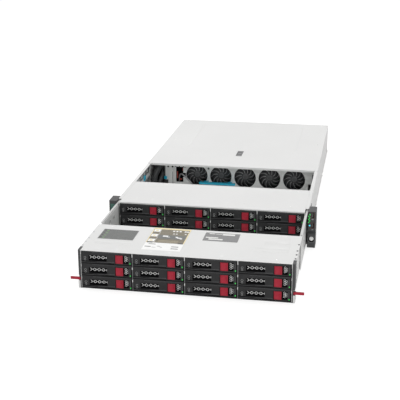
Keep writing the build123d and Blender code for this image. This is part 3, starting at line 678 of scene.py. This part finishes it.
def buildDrive():
    c = carrier
    drive = addBlock("driveCase", (-c["driveHalf"], c["driveHalf"]), (c["depth"] + 0.1, c["driveBack"]),
                     (c["driveLow"], c["driveHigh"]))
    insetAndPush(drive, facing(z=1), 3.5, (0, 0, -0.5))
    softenEdges(drive, 0.6, 2)
    spindle = addRound("driveSpindle", (0, 96, c["driveHigh"] - 0.5), 17, 0.5, "Z", 32)
    softenEdges(spindle, 0.3, 1)
    screws = []
    for x in (-c["screwX"], c["screwX"]):
        for y in c["screwY"]:
            screw = addRound("driveScrew", (x, y, c["driveHigh"] - 0.4), 2.4, 0.5, "Z", 12)
            screws.append(insetAndPush(screw, facing(z=1), 0.9, (0, 0, -0.2)))
    paint(drive, finMetal)
    paint(spindle, finMetal)
    for screw in screws:
        paint(screw, brushedSteel)
    rail = addBlock("sideRail", (c["driveHalf"], c["railHalf"]), (c["depth"], c["railBack"]), c["railZ"])
    slots = [addBlock("railSlot", (c["driveHalf"] - 1, c["railHalf"] + 1), (y, y + 18), (7.5, 12.5))
             for y in c["railSlots"]]
    cutAway(rail, *slots)
    softenEdges(rail, 0.4, 1)
    paint(rail, greyMoulded)
    return [drive, spindle, *screws, rail, mirrorCopy(rail, "sideRailLeft")]


latchModel = buildLatch()
carrierModel = joinAll("carrierWork", [*buildBezel(), *buildWindow(), *buildComb(), *buildMarks(), *buildDrive()])
innerHalf = (bay["columns"] * bay["width"] + (bay["columns"] - 1) * bay["divider"]) / 2
for cage in ("front", "rear"):
    for row in range(bay["rows"]):
        for column in range(bay["columns"]):
            tag = f"{bay['rows'] - row}{column + 1}"
            place = (-innerHalf + bay["width"] / 2 + column * (bay["width"] + bay["divider"]),
                     bay[cage + "Y"], bay["floor"] + row * bay["pitch"])
            body = f"{cage}_carrier_{tag}"
            whole = copyTo(carrierModel, f"{cage}Carrier{tag}", place)
            latchName = f"front_latch_{tag}"
            handle = copyTo(latchModel, f"{cage}Latch{tag}", place)
            ridePiece(whole, body)
            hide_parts(body)
            if cage == "front" and latchName in nodes:
                ridePiece(handle, latchName)
                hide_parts(latchName)
            else:
                ridePiece(handle, body)
bpy.data.objects.remove(latchModel)
bpy.data.objects.remove(carrierModel)
print("carriers ready")

# sheet tops: pressed rivets, formed steps, bright front hems
tops = {
    "front": {"body": "front_cage", "top": 83.3, "rivetY": -326.0, "rivetX": (35, 73, 143, 183), "hemY": -345.5,
              "half": 216.2, "back": -190.5, "backX": (20, 100, 190)},
    "rear": {"body": "drawer", "top": 85.7, "rivetY": -5.0, "rivetX": (35, 74, 143, 182), "hemY": -40.5,
             "half": 215.8, "back": 118.5, "backX": (20, 100, 190)},
    "rivetRadius": 1.9, "rivetRise": 0.3,
}
steps = {
    "right": [(130, 203, -288, -271), (150, 203, -271, -238), (176, 199, -238, -203)],
    "left": [(-199, -123, -300, -293)],
    "rise": 0.35,
}


def buildTop(cage):
    t = tops[cage]
    rivets = []
    places = [(side * x, t["rivetY"]) for side in (-1, 1) for x in t["rivetX"]]
    places += [(side * x, t["back"] - 9) for side in (-1, 1) for x in t["backX"]]
    for x, y in places:
        rivet = addRound("rivet", (x, y, t["top"] + tops["rivetRise"] / 2), tops["rivetRadius"], tops["rivetRise"],
                         "Z", 18, tops["rivetRadius"] - 0.5)
        rivets.append(insetAndPush(rivet, facing(z=1), 0.5, (0, 0, -0.25)))
    dress(cage + "CageRivets", rivets, brushedSteel, t["body"])
    hem = softBlock(cage + "CageHem", (-t["half"], t["half"]), span(t["hemY"], -0.25, 1.6),
                    span(t["top"], -0.7, 0.15), 0.3, 3)
    ridePiece(paint(hem, sheetPaint), t["body"])


def buildSteps():
    plates = []
    for side in ("right", "left"):
        for x0, x1, y0, y1 in steps[side]:
            plate = addBlock("formedStep", (x0, x1), (y0, y1), (83.25, 83.3 + steps["rise"]))
            insetAndPush(plate, facing(z=1), 1.0, (0, 0, 0.05))
            softenEdges(plate, 0.3, 2)
            plates.append(plate)
    dress("frontCageSteps", plates, sheetPaint, "front_cage")


buildTop("front")
buildTop("rear")
buildSteps()

# divider edges between the columns, painted dark grey as shade between the carriers, with bright tabs at the row
# boundaries; the outer ones are narrower, to stay between the carriers and the arms of the front cage
dividers = {
    "outer": 215.27, "outerHalf": 0.45, "half": 0.72,
    "tabHalf": 0.8, "tabLow": 19.0, "tabHigh": 24.4, "topTabRise": 2.0, "proud": 0.5,
}
# plates under the square holes in the side strips of the front cage; the right one is black, painted shade in its holes
holeFloors = {"x": (217.3, 222.2), "y": (-328, -200), "z": (82.47, 82.72)}


def buildDividers(cage, frontY, body):
    d = dividers
    top = bay["floor"] + bay["rows"] * bay["pitch"]
    edges, tabs = [], []
    for number in range(bay["columns"] + 1):
        x = -innerHalf + number * (bay["width"] + bay["divider"]) - bay["divider"] / 2
        half, tabHalf = d["half"], d["tabHalf"]
        if number in (0, bay["columns"]):
            x = math.copysign(d["outer"], x)
            half = tabHalf = d["outerHalf"]
        edges.append(softBlock("dividerEdge", (x - half, x + half), span(frontY, -0.1, 5.5),
                               (bay["floor"] + 0.3, top - 0.3), 0.2, 2))
        for row in range(bay["rows"]):
            z = bay["floor"] + row * bay["pitch"]
            high = d["tabHigh"] + (d["topTabRise"] if row == bay["rows"] - 1 else 0)
            tabs.append(softBlock("dividerTab", (x - tabHalf, x + tabHalf), (frontY - d["proud"] - 0.6, frontY + 1),
                                  (z + d["tabLow"], z + high), 0.35, 3))
    dress(cage + "DividerEdges", edges, dividerShadeGrey, body)
    dress(cage + "DividerTabs", tabs, sheetPaint, body)


def buildHoleFloors():
    h = holeFloors
    x0, x1 = h["x"]
    for name, x, material in (("holeFloorLeft", (-x1, -x0), zincPlate), ("holeShadeRight", (x0, x1), deepBlack)):
        ridePiece(paint(softBlock(name, x, h["y"], h["z"], 0.05, 1), material), "front_cage")


buildHoleFloors()
buildDividers("front", bay["frontY"], "front_cage")
buildDividers("rear", bay["rearY"], "drawer")

# printed plates on the front cage; generic shapes only
plates = {
    "top": 83.3, "thick": 0.25,
    "dark": (-201.0, -124.5, -273.5, -216.0),
    "guide": (-95.5, -15.0, -319.0, -191.0),
    "grey": (18.6, 92.5, -248.5, -200.0),
    "split": -277.5,
    # middle in x and y, width, depth
    "guideShapes": [(-62, -238, 11, 7), (-55, -242, 6, 3), (-37, -241, 5, 6), (-32, -245, 8, 5), (-27, -248, 5, 6)],
    "guideLines": [(-80, -286, 15, 3.2), (-86, -301, 13, 4.0), (-73, -304, 8, 1.8), (-64, -297, 6, 2.4),
                   (-58, -302, 5, 2.0), (-30, -296, 15, 4.0), (-29, -307, 15, 4.4)],
    "greyBlocks": [(33, -206, 12, 4), (48, -207.5, 14, 2.4), (69, -208, 26, 9), (36, -229, 26, 6), (45, -238, 30, 7)],
    "dotX": (-50, -43, -36, -25, -20), "dots": [(-47, -222), (-41, -222), (-22, -221)],
}


def plateFinish(name, paper, ink, rowScale, ratio, wide):
    material, tree, shader, place = newFinish(name)
    rows = addNode(tree, "TexBrick", {
        "Scale": rowScale, "Mortar Size": ratio, "Brick Width": wide, "Row Height": 0.22,
        "Color1": (*paper, 1), "Color2": (*ink, 1), "Mortar": (*paper, 1), "Bias": -0.1})
    tree.links.new(stretched(tree, place, (1, 1, 1)), rows.inputs["Vector"])
    tree.links.new(rows.outputs["Color"], shader.inputs["Base Color"])
    broad = noiseOf(tree, place.outputs["Object"], 90)
    tree.links.new(spread(tree, broad, 0.32, 0.5), shader.inputs["Roughness"])
    return material


def addPlate(name, x, y, level, thick, material):
    plate = addBlock(name, x, y, (level, level + thick))
    softenEdges(plate, min(0.08, thick / 3), 1)
    return paint(plate, material)


def buildPlates():
    level, thick, split = plates["top"], plates["thick"], plates["split"]
    face = level + thick
    darkPaper = plateFinish("darkPaper", (0.11, 0.115, 0.11), (0.32, 0.33, 0.31), 75, 0.10, 0.5)
    mossPaper = surfaceFinish("mossPaper", (0.17, 0.26, 0.14), 0.5, 0.0, 0.12, 200, 900, 0.00001)
    inkPaper = surfaceFinish("inkPaper", (0.07, 0.07, 0.068), 0.5, 0.0, 0.15, 200, 900, 0.00001)
    whitePaper = plateFinish("whitePaper", (0.97, 0.97, 0.96), (0.93, 0.93, 0.92), 60, 0.05, 0.7)
    yellowPaper = surfaceFinish("yellowPaper", (0.88, 0.74, 0.40), 0.45, 0.0, 0.06, 60, 900, 0.00001)
    brownPaper = plateFinish("brownPaper", (0.17, 0.145, 0.095), (0.31, 0.28, 0.21), 70, 0.08, 0.8)
    slatePaper = plateFinish("slatePaper", (0.12, 0.125, 0.12), (0.21, 0.215, 0.20), 80, 0.08, 0.8)
    tanPaper = surfaceFinish("tanPaper", (0.44, 0.38, 0.27), 0.5, 0.0, 0.1, 150, 900, 0.00001)
    greyPaper = plateFinish("greyPaper", (0.20, 0.20, 0.20), (0.235, 0.235, 0.235), 60, 0.05, 0.6)
    palePaper = surfaceFinish("palePaper", (0.80, 0.80, 0.78), 0.45, 0.0, 0.08, 90, 900, 0.00001)
    linePaper = surfaceFinish("linePaper", (0.22, 0.22, 0.22), 0.5, 0.0, 0.08, 90, 900, 0.00001)

    x0, x1, y0, y1 = plates["dark"]
    parts = [addPlate("darkPlate", (x0, x1), (y0, y1), level, thick, darkPaper)]
    frame = addPlate("darkEdge", (x0, x1), (y0, y1), level, thick + 0.08, linePaper)
    cutAway(frame, addBlock("darkEdgeCut", (x0 + 1.4, x1 - 1.4), (y0 + 1.4, y1 - 1.4), span(level, -1, 2)))
    parts.append(frame)
    for number in range(4):
        y = y1 - 4 - number * 13.5
        parts.append(addPlate("darkKey", span(x0, 1.5, 6.5), (y - 6, y), face, 0.08, inkPaper))
        parts.append(addPlate("darkKeyMark", span(x0, 8.5, 13.5), span(y, -9, -2), face, 0.08, mossPaper))
    ridePiece(joinAll("serviceTagDark", parts), "front_cage")

    x0, x1, y0, y1 = plates["guide"]
    parts = [addPlate("guideSheet", (x0, x1), (y0, y1), level, thick, whitePaper)]
    rim = addPlate("guideRim", (x0, x1), (split, y1), level, thick + 0.1, yellowPaper)
    cutAway(rim, addBlock("guideRimCut", (x0 + 1.6, x1 - 1.8), (split - 1, y1 - 6.5), span(level, -1, 2)))
    parts.append(rim)
    parts.append(addPlate("guideSide", span(x0, 1.8, 17), (split, y1 - 7), face, 0.05, brownPaper))
    parts.append(addPlate("guideField", (x0 + 17.5, x1 - 2), (split, y1 - 7), face, 0.06, brownPaper))
    parts.append(addPlate("guideBand", (x0 + 18.5, x1 - 2), span(split, 24, 46), face + 0.06, 0.06,
                          slatePaper))
    for number in range(3):
        top = y1 - 8 - number * 29
        parts.append(addPlate("guideKey", span(x0, 2.5, 16), (top - 15, top), face + 0.05, 0.06, whitePaper))
        parts.append(addPlate("guideKeyMark", span(x0, 6, 11.5), span(top, -11, -5), face + 0.11, 0.05, yellowPaper))
    for x in plates["dotX"]:
        parts.append(addPlate("guideDot", about(x, 4.4), span(y1, -18, -12), face + 0.06, 0.08, whitePaper))
    for x, y in plates["dots"]:
        parts.append(addPlate("guideDot", about(x, 3.6), about(y, 5), face + 0.06, 0.08, palePaper))
    parts += [addPlate("guideShape", about(x, wide), about(y, deep), face + 0.12, 0.08, whitePaper)
              for x, y, wide, deep in plates["guideShapes"]]
    for y in (split + 6, split + 13):
        parts.append(addPlate("guideStripe", (x0 + 24, x1 - 14), about(y, 2.2), face + 0.06, 0.08, tanPaper))
    for start, end in (span(x0, 1.8, 14), span(x1, -13, -2)):
        parts.append(addPlate("guidePad", (start, end), span(split, -1.5, 4), face + 0.06, 0.08, inkPaper))
    parts += [addPlate("guideLine", about(x, wide), about(y, deep), face, 0.08, linePaper)
              for x, y, wide, deep in plates["guideLines"]]
    ridePiece(joinAll("serviceGuideBlank", parts), "front_cage")

    x0, x1, y0, y1 = plates["grey"]
    parts = [addPlate("greyPlate", (x0, x1), (y0, y1), level, thick, greyPaper)]
    parts += [addPlate("greyBlock", about(x, wide), about(y, deep), face, 0.08, palePaper)
              for x, y, wide, deep in plates["greyBlocks"]]
    ridePiece(joinAll("serviceTagGrey", parts), "front_cage")


buildPlates()
print("tops and plates ready")

# right ear: lamps, port rims and marks; left ear: plain badge place and chevron
ear = {
    "frontY": -38.0, "recess": 0.6,
    "lampX": (224.9, 227.2), "lampZ": (75.5, 71.8, 68.2, 64.6, 61.0), "lampRadius": 1.15,
    "portX": 234.6, "ports": (72.0, 47.5), "portWide": 5.2, "portHigh": 12.8,
    "buttonX": 227.6, "locateZ": 54.0, "powerZ": 80.0, "screwX": 232.55, "screwZ": 21.3,
    "ovalX": 233.6, "ovalStretch": 1.5, "chevronX": -232.05, "chevronArm": 7.2,
}


def buildEars():
    face = ear["frontY"] + ear["recess"]
    lamps = []
    for number, z in enumerate(ear["lampZ"]):
        x = ear["lampX"][number % 2]
        lamp = addRound("earLamp", (x, face - 0.1, z), ear["lampRadius"], 0.7, "Y", 14)
        lamps.append(softenEdges(lamp, 0.3, 2))
    dress("earLamps", lamps, greenGlow, "chassis")
    cyan = addRound("locateLamp", (ear["buttonX"], ear["frontY"] - 0.9, ear["locateZ"]), 1.7, 0.5, "Y", 18)
    ridePiece(paint(softenEdges(cyan, 0.2, 2), cyanGlow), "locate_button")
    stem = addBlock("powerStem", about(ear["buttonX"], 0.5),
                    span(ear["frontY"], -1.0, -0.7), span(ear["powerZ"], -0.2, 1.6))
    dial = addRing("powerDial", (ear["buttonX"], ear["frontY"] - 1.0, ear["powerZ"]), 1.5, 0.35, 0.3, 18)
    softenEdges(stem, 0.08, 1)
    dress("powerMark", [stem, dial], greenGlow, "power_button")
    rimPaint = surfaceFinish("portRim", (0.12, 0.055, 0.035), 0.45, 0.0, 0.1, 90, 900, 0.00001)
    rims, tongues = [], []
    for level in ear["ports"]:
        x0, x1 = ear["portX"] - ear["portWide"] / 2, ear["portX"] + ear["portWide"] / 2
        rim = addBlock("portRim", (x0 - 0.7, x1 + 0.7), span(face, -0.35, 0.4),
                       (level - 0.7, level + ear["portHigh"] + 0.7))
        hole = addBlock("portRimCut", (x0, x1), about(face, 4), (level, level + ear["portHigh"]))
        rims.append(softenEdges(cutAway(rim, hole), 0.12, 1))
        tongues.append(softBlock("portTongue", span(ear["portX"], -1.9, 0.1), span(face, 1.4, 10),
                                 (level + 1.2, level + ear["portHigh"] - 1.2), 0.25, 1))
    dress("portRims", rims, rimPaint, "chassis")
    dress("portTongues", tongues, greyMoulded, "chassis")
    oval = addRound("portMarkUpper", (ear["ovalX"], face - 0.1, 68.7), 1.6, 0.3, "Y", 20)
    oval.scale = (ear["ovalStretch"], 1, 1)
    oval.location.x = ear["ovalX"] * 0.001 * (1 - ear["ovalStretch"])
    settle(oval)
    tip = addBlock("portMarkLower", (232.0, 236.2), span(face, -0.25, 0.1), (42.6, 44.2))
    for vertex in tip.data.vertices:
        if vertex.co.x > 0.234:
            vertex.co.z += 0.0011
    softenEdges(tip, 0.1, 1)
    dress("portMarks", [softenEdges(oval, 0.1, 1), tip], paleMark, "chassis")
    well = addRing("screwWell", (ear["screwX"], ear["frontY"] - 0.5, ear["screwZ"]), 8.9, 1.2, 0.7, 36)
    softenEdges(well, 0.25, 2)
    ridePiece(paint(well, greyMoulded), "chassis")
    ridePiece(paint(mirrorCopy(well, "screwWellLeft"), greyMoulded), "chassis")

    badge = addBlock("earBadgePlace", (-238.2, -225.9), span(face, -0.5, 0.3), (55.0, 79.0))
    insetAndPush(badge, facing(y=-1), 0.8, (0, 0.25, 0))
    softenEdges(badge, 0.25, 2)
    badgeGreen = surfaceFinish("badgeGreen", (0.045, 0.13, 0.105), 0.45, 0.0, 0.1, 60, 900, 0.00001)
    ridePiece(paint(badge, badgeGreen), "chassis")
    disc = addRound("earScrewDisc", (ear["screwX"], ear["frontY"] + 2.6, ear["screwZ"]), 5.0, 0.8, "Y", 28)
    insetAndPush(disc, facing(y=-1), 3.2, (0, 0.4, 0))
    softenEdges(disc, 0.2, 2)
    ridePiece(paint(disc, silverTrim), "chassis")
    ridePiece(paint(mirrorCopy(disc, "earScrewDiscLeft"), zincPlate), "chassis")
    arms = []
    for side in (-1, 1):
        ends = sorted((ear["chevronX"], ear["chevronX"] + side * ear["chevronArm"]))
        arm = addBlock("chevronArm", ends, (-38.5, -37.6), (47.4, 50.6))
        for vertex in arm.data.vertices:
            if abs(vertex.co.x - ear["chevronX"] * 0.001) > 0.002:
                vertex.co.z += 0.0036
        arms.append(softenEdges(arm, 0.25, 2))
    dress("earChevron", arms, greyMoulded, "chassis")


buildEars()
print("ears ready")

# light rail ends below the release levers, on the front brackets
railEnd = {"inner": 218.4, "outer": 222.55, "front": -345.95, "back": -324.5, "low": 0.5, "high": 16.6}


def buildRailEnds():
    r = railEnd
    end = addBlock("railEndRight", (r["inner"], r["outer"]), (r["front"], r["back"]), (r["low"], r["high"]))
    cutAway(end, addBlock("railEndCut", (r["inner"] - 1, r["outer"] - 0.25), (r["front"] + 0.4, r["back"] + 1),
                          (r["low"] - 1, r["high"] + 1)))
    softenEdges(end, 0.12, 1)
    ridePiece(paint(end, sheetPaint), "front_cage")
    ridePiece(paint(mirrorCopy(end, "railEndLeft"), sheetPaint), "front_cage")


buildRailEnds()

# cover: pale inlays of the latch, the folded front lip, seams and screws
cover = {
    "front": 284.0, "top": 87.0, "lipHalf": 215.7, "lipLow": 81.8, "bendHalf": 223.9,
    "latchX": 3.0, "latchY": 414.0, "inlayY": (-14.0, 2.0), "ribX": 150, "ribY": (470, 730),
    "screws": [(-205, 760), (205, 760), (-205, 540), (205, 540), (0, 760)],
}


def buildCover():
    c = cover
    inlays = []
    for offset in c["inlayY"]:
        y = c["latchY"] + offset
        inlays.append(softBlock("latchInlay", about(c["latchX"], 9.8), about(y, 9.2),
                                span(c["top"], -1.2, -0.55), 0.2, 2))
    dress("latchInlays", inlays, paleMark, "cover_latch")
    lip = softBlock("coverLip", (-c["lipHalf"] + 1, c["lipHalf"] - 1), span(c["front"], -0.35, 0.2),
                    span(c["lipLow"], 1.4, 2.2), 0.2, 2)
    bend = softBlock("coverBend", (-c["bendHalf"], c["bendHalf"]), span(c["front"], -0.2, 1.4),
                     span(c["top"], -0.9, 0.12), 0.3, 3)
    dress("coverFolds", [lip, bend], sheetPaint, "main_cover")
    screws = []
    for x, y in c["screws"]:
        screw = addRound("coverScrew", (x, y, c["top"] + 0.35), 3.2, 0.9, "Z", 20, 2.6)
        insetAndPush(screw, facing(z=1), 1.3, (0, 0, -0.5))
        screws.append(softenEdges(screw, 0.15, 1))
    dress("coverScrews", screws, brushedSteel, "main_cover")
    ribs = []
    for x in (-c["ribX"], c["ribX"]):
        ribs.append(softBlock("coverRib", about(x, 6), c["ribY"], span(c["top"], -0.05, 0.3), 0.3, 2))
    dress("coverRibs", ribs, sheetPaint, "main_cover")


buildCover()
print("cover ready")

# chassis walls: pierced strip inside the left wall, pressed marks outside
walls = {
    "inner": 222.8, "outer": 224.0, "stripY": (4, 286), "strips": [(62.0, 80.0), (8.0, 24.0)],
    "slots": 9, "slotPitch": 30,
    # y, z, length, height
    "marks": [(113, 77.5, 16, 3.0), (180, 60, 8, 8), (330, 60, 8, 8), (430, 26, 22, 5), (610, 60, 8, 8),
              (700, 44, 22, 5)],
}


def buildWalls():
    w = walls
    strips = []
    start = w["stripY"][0]
    for low, high in w["strips"]:
        strip = addBlock("wallStrip", (-w["inner"], -w["inner"] + 0.7), w["stripY"], (low, high))
        slot = addBlock("wallSlot", (-w["inner"] - 1, -w["inner"] + 2), span(start, 14, 30),
                        about((low + high) / 2, 7))
        repeatAlong(slot, w["slots"], (0, w["slotPitch"], 0))
        strips.append(softenEdges(cutAway(strip, slot), 0.2, 1))
    left = joinAll("wallStripLeft", strips)
    ridePiece(paint(left, zincPlate), "chassis")
    ridePiece(paint(mirrorCopy(left, "wallStripRight"), zincPlate), "chassis")
    marks = []
    for y, z, long, high in w["marks"]:
        mark = addBlock("wallMark", span(w["outer"], -0.1, 0.35), about(y, long), about(z, high))
        insetAndPush(mark, facing(x=1), 0.8, (-0.2, 0, 0))
        marks.append(softenEdges(mark, 0.15, 1))
    right = joinAll("wallMarksRight", marks)
    ridePiece(paint(right, sheetPaint), "chassis")
    ridePiece(paint(mirrorCopy(right, "wallMarksLeft"), sheetPaint), "chassis")


buildWalls()

# fan wall: screws, the embossed bracket, the window's folded edges and what shows through it; painted shadow beside the
# bracket rib and a black sheet of painted shade behind the window
fanWall = {
    "face": 329.2, "bracketFace": 322.2, "window": (-161.0, -131.0, 24.0, 65.0),
    "foldLeft": -157.6, "foldRight": -138.2, "cableGap": (38.5, 50.0), "bracketRight": -163, "screwZ": 67.9,
    "screws": [(-177.9, 2.2), (-166.1, 2.2), (-158.4, 1.7), (-148.6, 1.7), (-137.6, 1.7)],
    # x, z, width, height
    "plugs": [(-156.2, 41, 3.2, 19), (-140.7, 57, 3.0, 7), (-147, 29, 6, 4)],
}


def buildFanWall():
    w = fanWall
    screw = addRound("fanWallScrew", (-69.0, w["face"] - 0.3, 65.4), 2.6, 0.9, "Y", 16)
    insetAndPush(screw, facing(y=-1), 0.9, (0, 0.4, 0))
    ridePiece(paint(screw, greyMoulded), "chassis")
    heads = []
    for x, radius in w["screws"]:
        face = w["bracketFace"] if x < w["bracketRight"] else w["face"]
        head = addRound("bracketScrew", (x, face - 0.2, w["screwZ"]), radius, 0.8, "Y", 16)
        heads.append(insetAndPush(head, facing(y=-1), 0.7, (0, 0.4, 0)))
    dress("bracketScrews", heads, deepBlack, "chassis")
    x0, x1, z0, z1 = w["window"]
    low, high = w["cableGap"]
    left, right = (x0 - 0.3, w["foldLeft"]), (w["foldRight"], x1 + 0.3)
    folds = [addBlock("windowFold", x, (w["face"] - 0.6, w["face"]), z)
             for x, z in ((left, (z0 - 0.3, z1 + 0.3)), (right, (z0 - 0.3, low)), (right, (high, z1 + 0.3)))]
    folds.append(addBlock("bracketRib", (-173.2, -166.6), span(w["bracketFace"], -0.9, 0.2), (4, 56.5)))
    dress("windowFolds", [softenEdges(fold, 0.4, 2) for fold in folds], sheetPaint, "chassis")
    # a grey strip of painted shadow beside the bracket rib
    ribShadow = addBlock("bracketRibShadow", (-166.4, -165.3), span(w["bracketFace"], -0.25, 0.2), (5, 54))
    ridePiece(paint(softenEdges(ribShadow, 0.1, 1), greyMoulded), "chassis")
    # a black sheet behind the window: painted shade deep inside the chassis
    shadeSheet = addBlock("windowShadeSheet", (-164, -127), (357.5, 358.5), (8, 72))
    insetAndPush(shadeSheet, facing(y=-1), 2.0, (0, 0.3, 0))
    ridePiece(paint(softenEdges(shadeSheet, 0.2, 1), deepBlack), "chassis")
    bits = []
    for x, z, wide, high in w["plugs"]:
        bits.append(softBlock("wiringPlug", about(x, wide), (337, 343), about(z, high), 0.6, 2))
    dress("wiringPlugs", bits, orangePlastic, "chassis")


buildFanWall()

# bent air ducts in the left bay, and the lip that laps the bracket
airDucts = {
    "outer": ([(-212, 300, 3), (-212, 300, 26), (-210, 304, 48), (-204, 312, 64), (-198, 320, 72)], 8.6),
    "inner": ([(-199, 297, 3), (-199, 298, 18), (-196, 303, 34), (-192.6, 312, 46), (-192.6, 320, 50)], 5.2),
}
# low end, high end and right edge of each stretch
ductLips = {"left": -189.3, "stretches": [(3, 31, -178.4), (31, 80, -185.7)]}


def buildAirDucts():
    pieces = []
    for name, (points, radius) in airDucts.items():
        duct = smoothLine(name + "AirDuct", points, radius, 5)
        duct.data.use_fill_caps = True
        pickOnly(duct)
        bpy.ops.object.convert(target="MESH")
        pieces.append(bpy.context.object)
    face = fanWall["bracketFace"]
    for z0, z1, edge in ductLips["stretches"]:
        pieces.append(softBlock("ductLip", (ductLips["left"], edge), span(face, -0.7, -0.05), (z0, z1), 0.15, 1))
    dress("airDucts", pieces, blackMoulded, "chassis")


buildAirDucts()

# blue touch points: the bar before the fans and two tabs
touch = {
    "bar": ((-90, 6), (302.5, 313.5), (28.6, 33.5)), "feet": (-74, -10), "grips": 22, "gripPitch": 4.1,
    "tab": ((-188.8, -181.2), (317.8, 322.1), (33, 41)), "wallTab": ((-222.7, -220.4), (226, 243), (54, 66)),
}


def buildTouchPoints():
    t = touch
    pieces = []
    for name in ("bar", "tab", "wallTab"):
        piece = addBlock("touch" + name.title(), *t[name])
        pieces.append(softenEdges(piece, 0.9 if name == "bar" else 0.6, 3))
    for x in t["feet"]:
        pieces.append(softBlock("touchFoot", about(x, 12), (t["bar"][1][1] - 1, fanWall["face"] - 0.1), (28.8, 31.6),
                                0.5, 2))
    grip = softBlock("touchGrip", (-86, -85), (302.2, 303), (29.4, 32.6), 0.2, 1)
    pieces.append(repeatAlong(grip, t["grips"], (t["gripPitch"], 0, 0)))
    points = dress("touchPoints", pieces, bluePlastic, "chassis")
    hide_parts("touch_points")


buildTouchPoints()

# fan impellers: swept blades on a stepped hub, their leading edges pale with painted highlight
fan = {
    "count": 5, "blades": 11, "root": 9.0, "tip": 27.4, "chord": 11.5, "tilt": -0.75, "sweep": 0.85,
    "hub": 9.4, "deep": 14.0,
}


def bendBlade(piece, lift):
    f = fan
    editAll(piece)
    bpy.ops.mesh.subdivide(number_cuts=3)
    leaveEdit()
    for vertex in piece.data.vertices:
        reach, across = vertex.co.x * 1000, vertex.co.z * 1000
        swing = f["sweep"] * (reach - f["root"]) / (f["tip"] - f["root"]) + across / reach
        vertex.co = mm(reach * math.cos(swing), vertex.co.y * 1000 + across * f["tilt"] + lift, reach * math.sin(swing))
    return piece


def buildImpellers():
    f = fan
    half = f["chord"] / 2
    blade = bendBlade(addBlock("fanBlade", (f["root"], f["tip"]), (6.0, 7.0), (-half, half)), 0)
    edge = bendBlade(addBlock("bladeHighlight", (f["root"] + 1.5, f["tip"] - 0.6), (6.0, 6.9), (half - 1.5, half)), -0.3)
    whole = joinAll("fanBlade", [paint(blade, bladePlastic), paint(edge, bladeHighlight)])
    parts = []
    for number in range(f["blades"]):
        twin = copyTo(whole, "fanBladeCopy")
        twin.rotation_euler = (0, number * 2 * math.pi / f["blades"], 0)
        parts.append(settle(twin))
    bpy.data.objects.remove(whole)
    hub = addRound("fanHub", (0, 1.5 + f["deep"] / 2, 0), f["hub"], f["deep"], "Y", 32)
    softenEdges(hub, 1.6, 3)
    insetAndPush(hub, facing(y=-1), 2.6, (0, 0.5, 0))
    rim = addRing("hubRim", (0, 1.4, 0), 6.2, 0.8, 0.5, 28)
    model = joinAll("impellerWork", [paint(hub, bladePlastic), paint(rim, greyMoulded), *parts])
    for number in range(1, f["count"] + 1):
        node = nodes[f"fan_impeller_{number}"]
        xs, ys, zs = zip(*[tuple(vertex.co * 1000) for vertex in node.data.vertices])
        place = ((min(xs) + max(xs)) / 2, min(ys), (min(zs) + max(zs)) / 2)
        impeller = ridePiece(copyTo(model, f"impeller{number}", place), f"fan_impeller_{number}")
        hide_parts(f"fan_impeller_{number}")
    bpy.data.objects.remove(model)


buildImpellers()
print("fans ready")

# rear: what shows in the port window and on the supplies
rear = {
    "endY": 775.8, "supplyX": 138.5, "levels": (1.5, 43.5), "high": 40.2, "rings": (6.5, 9.5, 12.6),
    "pins": [(-7, -1.5), (0, 2.5), (7, -1.5)],
    # left, right, low, high
    "ports": [(76, 91, 14, 28), (93, 108, 14, 28), (110, 118, 13.5, 27)],
}


def buildRearPorts():
    shells, holes = [], []
    for x0, x1, z0, z1 in rear["ports"]:
        shell = addBlock("portShell", (x0, x1), (758, 774.4), (z0, z1))
        cutAway(shell, addBlock("portCut", (x0 + 1.3, x1 - 1.3), (764, 780), (z0 + 1.3, z1 - 1.3)))
        shells.append(softenEdges(shell, 0.2, 1))
        holes.append(softBlock("portBlock", (x0 + 2.6, x1 - 2.6), (763, 771), span(z1, -4.2, -2.6), 0.2, 1))
    dress("rearPortShells", shells, brushedSteel, "chassis")
    dress("rearPortBlocks", holes, chipBlack, "chassis")


def buildSupplyFaces():
    r = rear
    for number, level in enumerate(r["levels"], start=1):
        body = f"power_supply_{number}"
        centre = (r["supplyX"] + 56, r["endY"] - 0.5, level + r["high"] / 2)
        rings = [addRing("grilleRing", (centre[0], centre[1] - 0.4, centre[2]), radius, 0.7, 0.7, 32)
                 for radius in r["rings"]]
        dress(f"supplyGrille{number}", rings, brushedSteel, body)
        x, z = r["supplyX"] + 23.5, level + 19
        pins = [addBlock("inletPin", (x + dx - 1, x + dx + 1), span(r["endY"], -13.5, -3),
                         (z + dz - 2.2, z + dz + 2.2)) for dx, dz in r["pins"]]
        pins = [softenEdges(pin, 0.3, 2) for pin in pins]
        dress(f"supplyPins{number}", pins, brushedSteel, body)
        tab = softBlock(f"supplyTab{number}", span(r["supplyX"], 2.6, 8.4),
                        span(r["endY"], 9.4, 11.4), span(level, 9, 29), 0.6, 3)
        ridePiece(paint(tab, latchPlastic), body)
        lamp = addRound(f"supplyLamp{number}", (r["supplyX"] + 12, r["endY"] + 0.2, level + 34), 1.5, 0.6, "Y", 16)
        ridePiece(paint(softenEdges(lamp, 0.2, 2), greenGlow), body)


buildRearPorts()
buildSupplyFaces()
print("rear ready")

# cable through the left window, one smooth line between its two plugs
cable = {
    "points": [(-105, 313, 9), (-108, 315, 20), (-120, 321, 31), (-134, 325, 43),
               (-145, 335, 46), (-152, 347, 38), (-154, 352, 24), (-154, 352, 12)],
    "diameter": 4.0, "length": 0.104,
}


def buildCable():
    cord = smoothLine("signalCable", cable["points"], cable["diameter"] / 2, 4)
    cord.data.resolution_u = 16
    cord.data.materials.append(jacketGrey)
    for name, end in (("cablePlugFront", cable["points"][0]), ("cablePlugBack", cable["points"][-1])):
        plug = addBlock(name, (end[0] - 9, end[0] + 9), (end[1] - 4, end[1] + 4), (1.2, end[2]))
        insetAndPush(plug, facing(z=1), 1.2, (0, 0, 0.6))
        softenEdges(plug, 0.5, 2)
        ridePiece(paint(plug, orangePlastic if "Front" in name else greyMoulded), "chassis")
    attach(cord, "chassis")
    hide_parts("signal_cable")


buildCable()
print("cable ready")
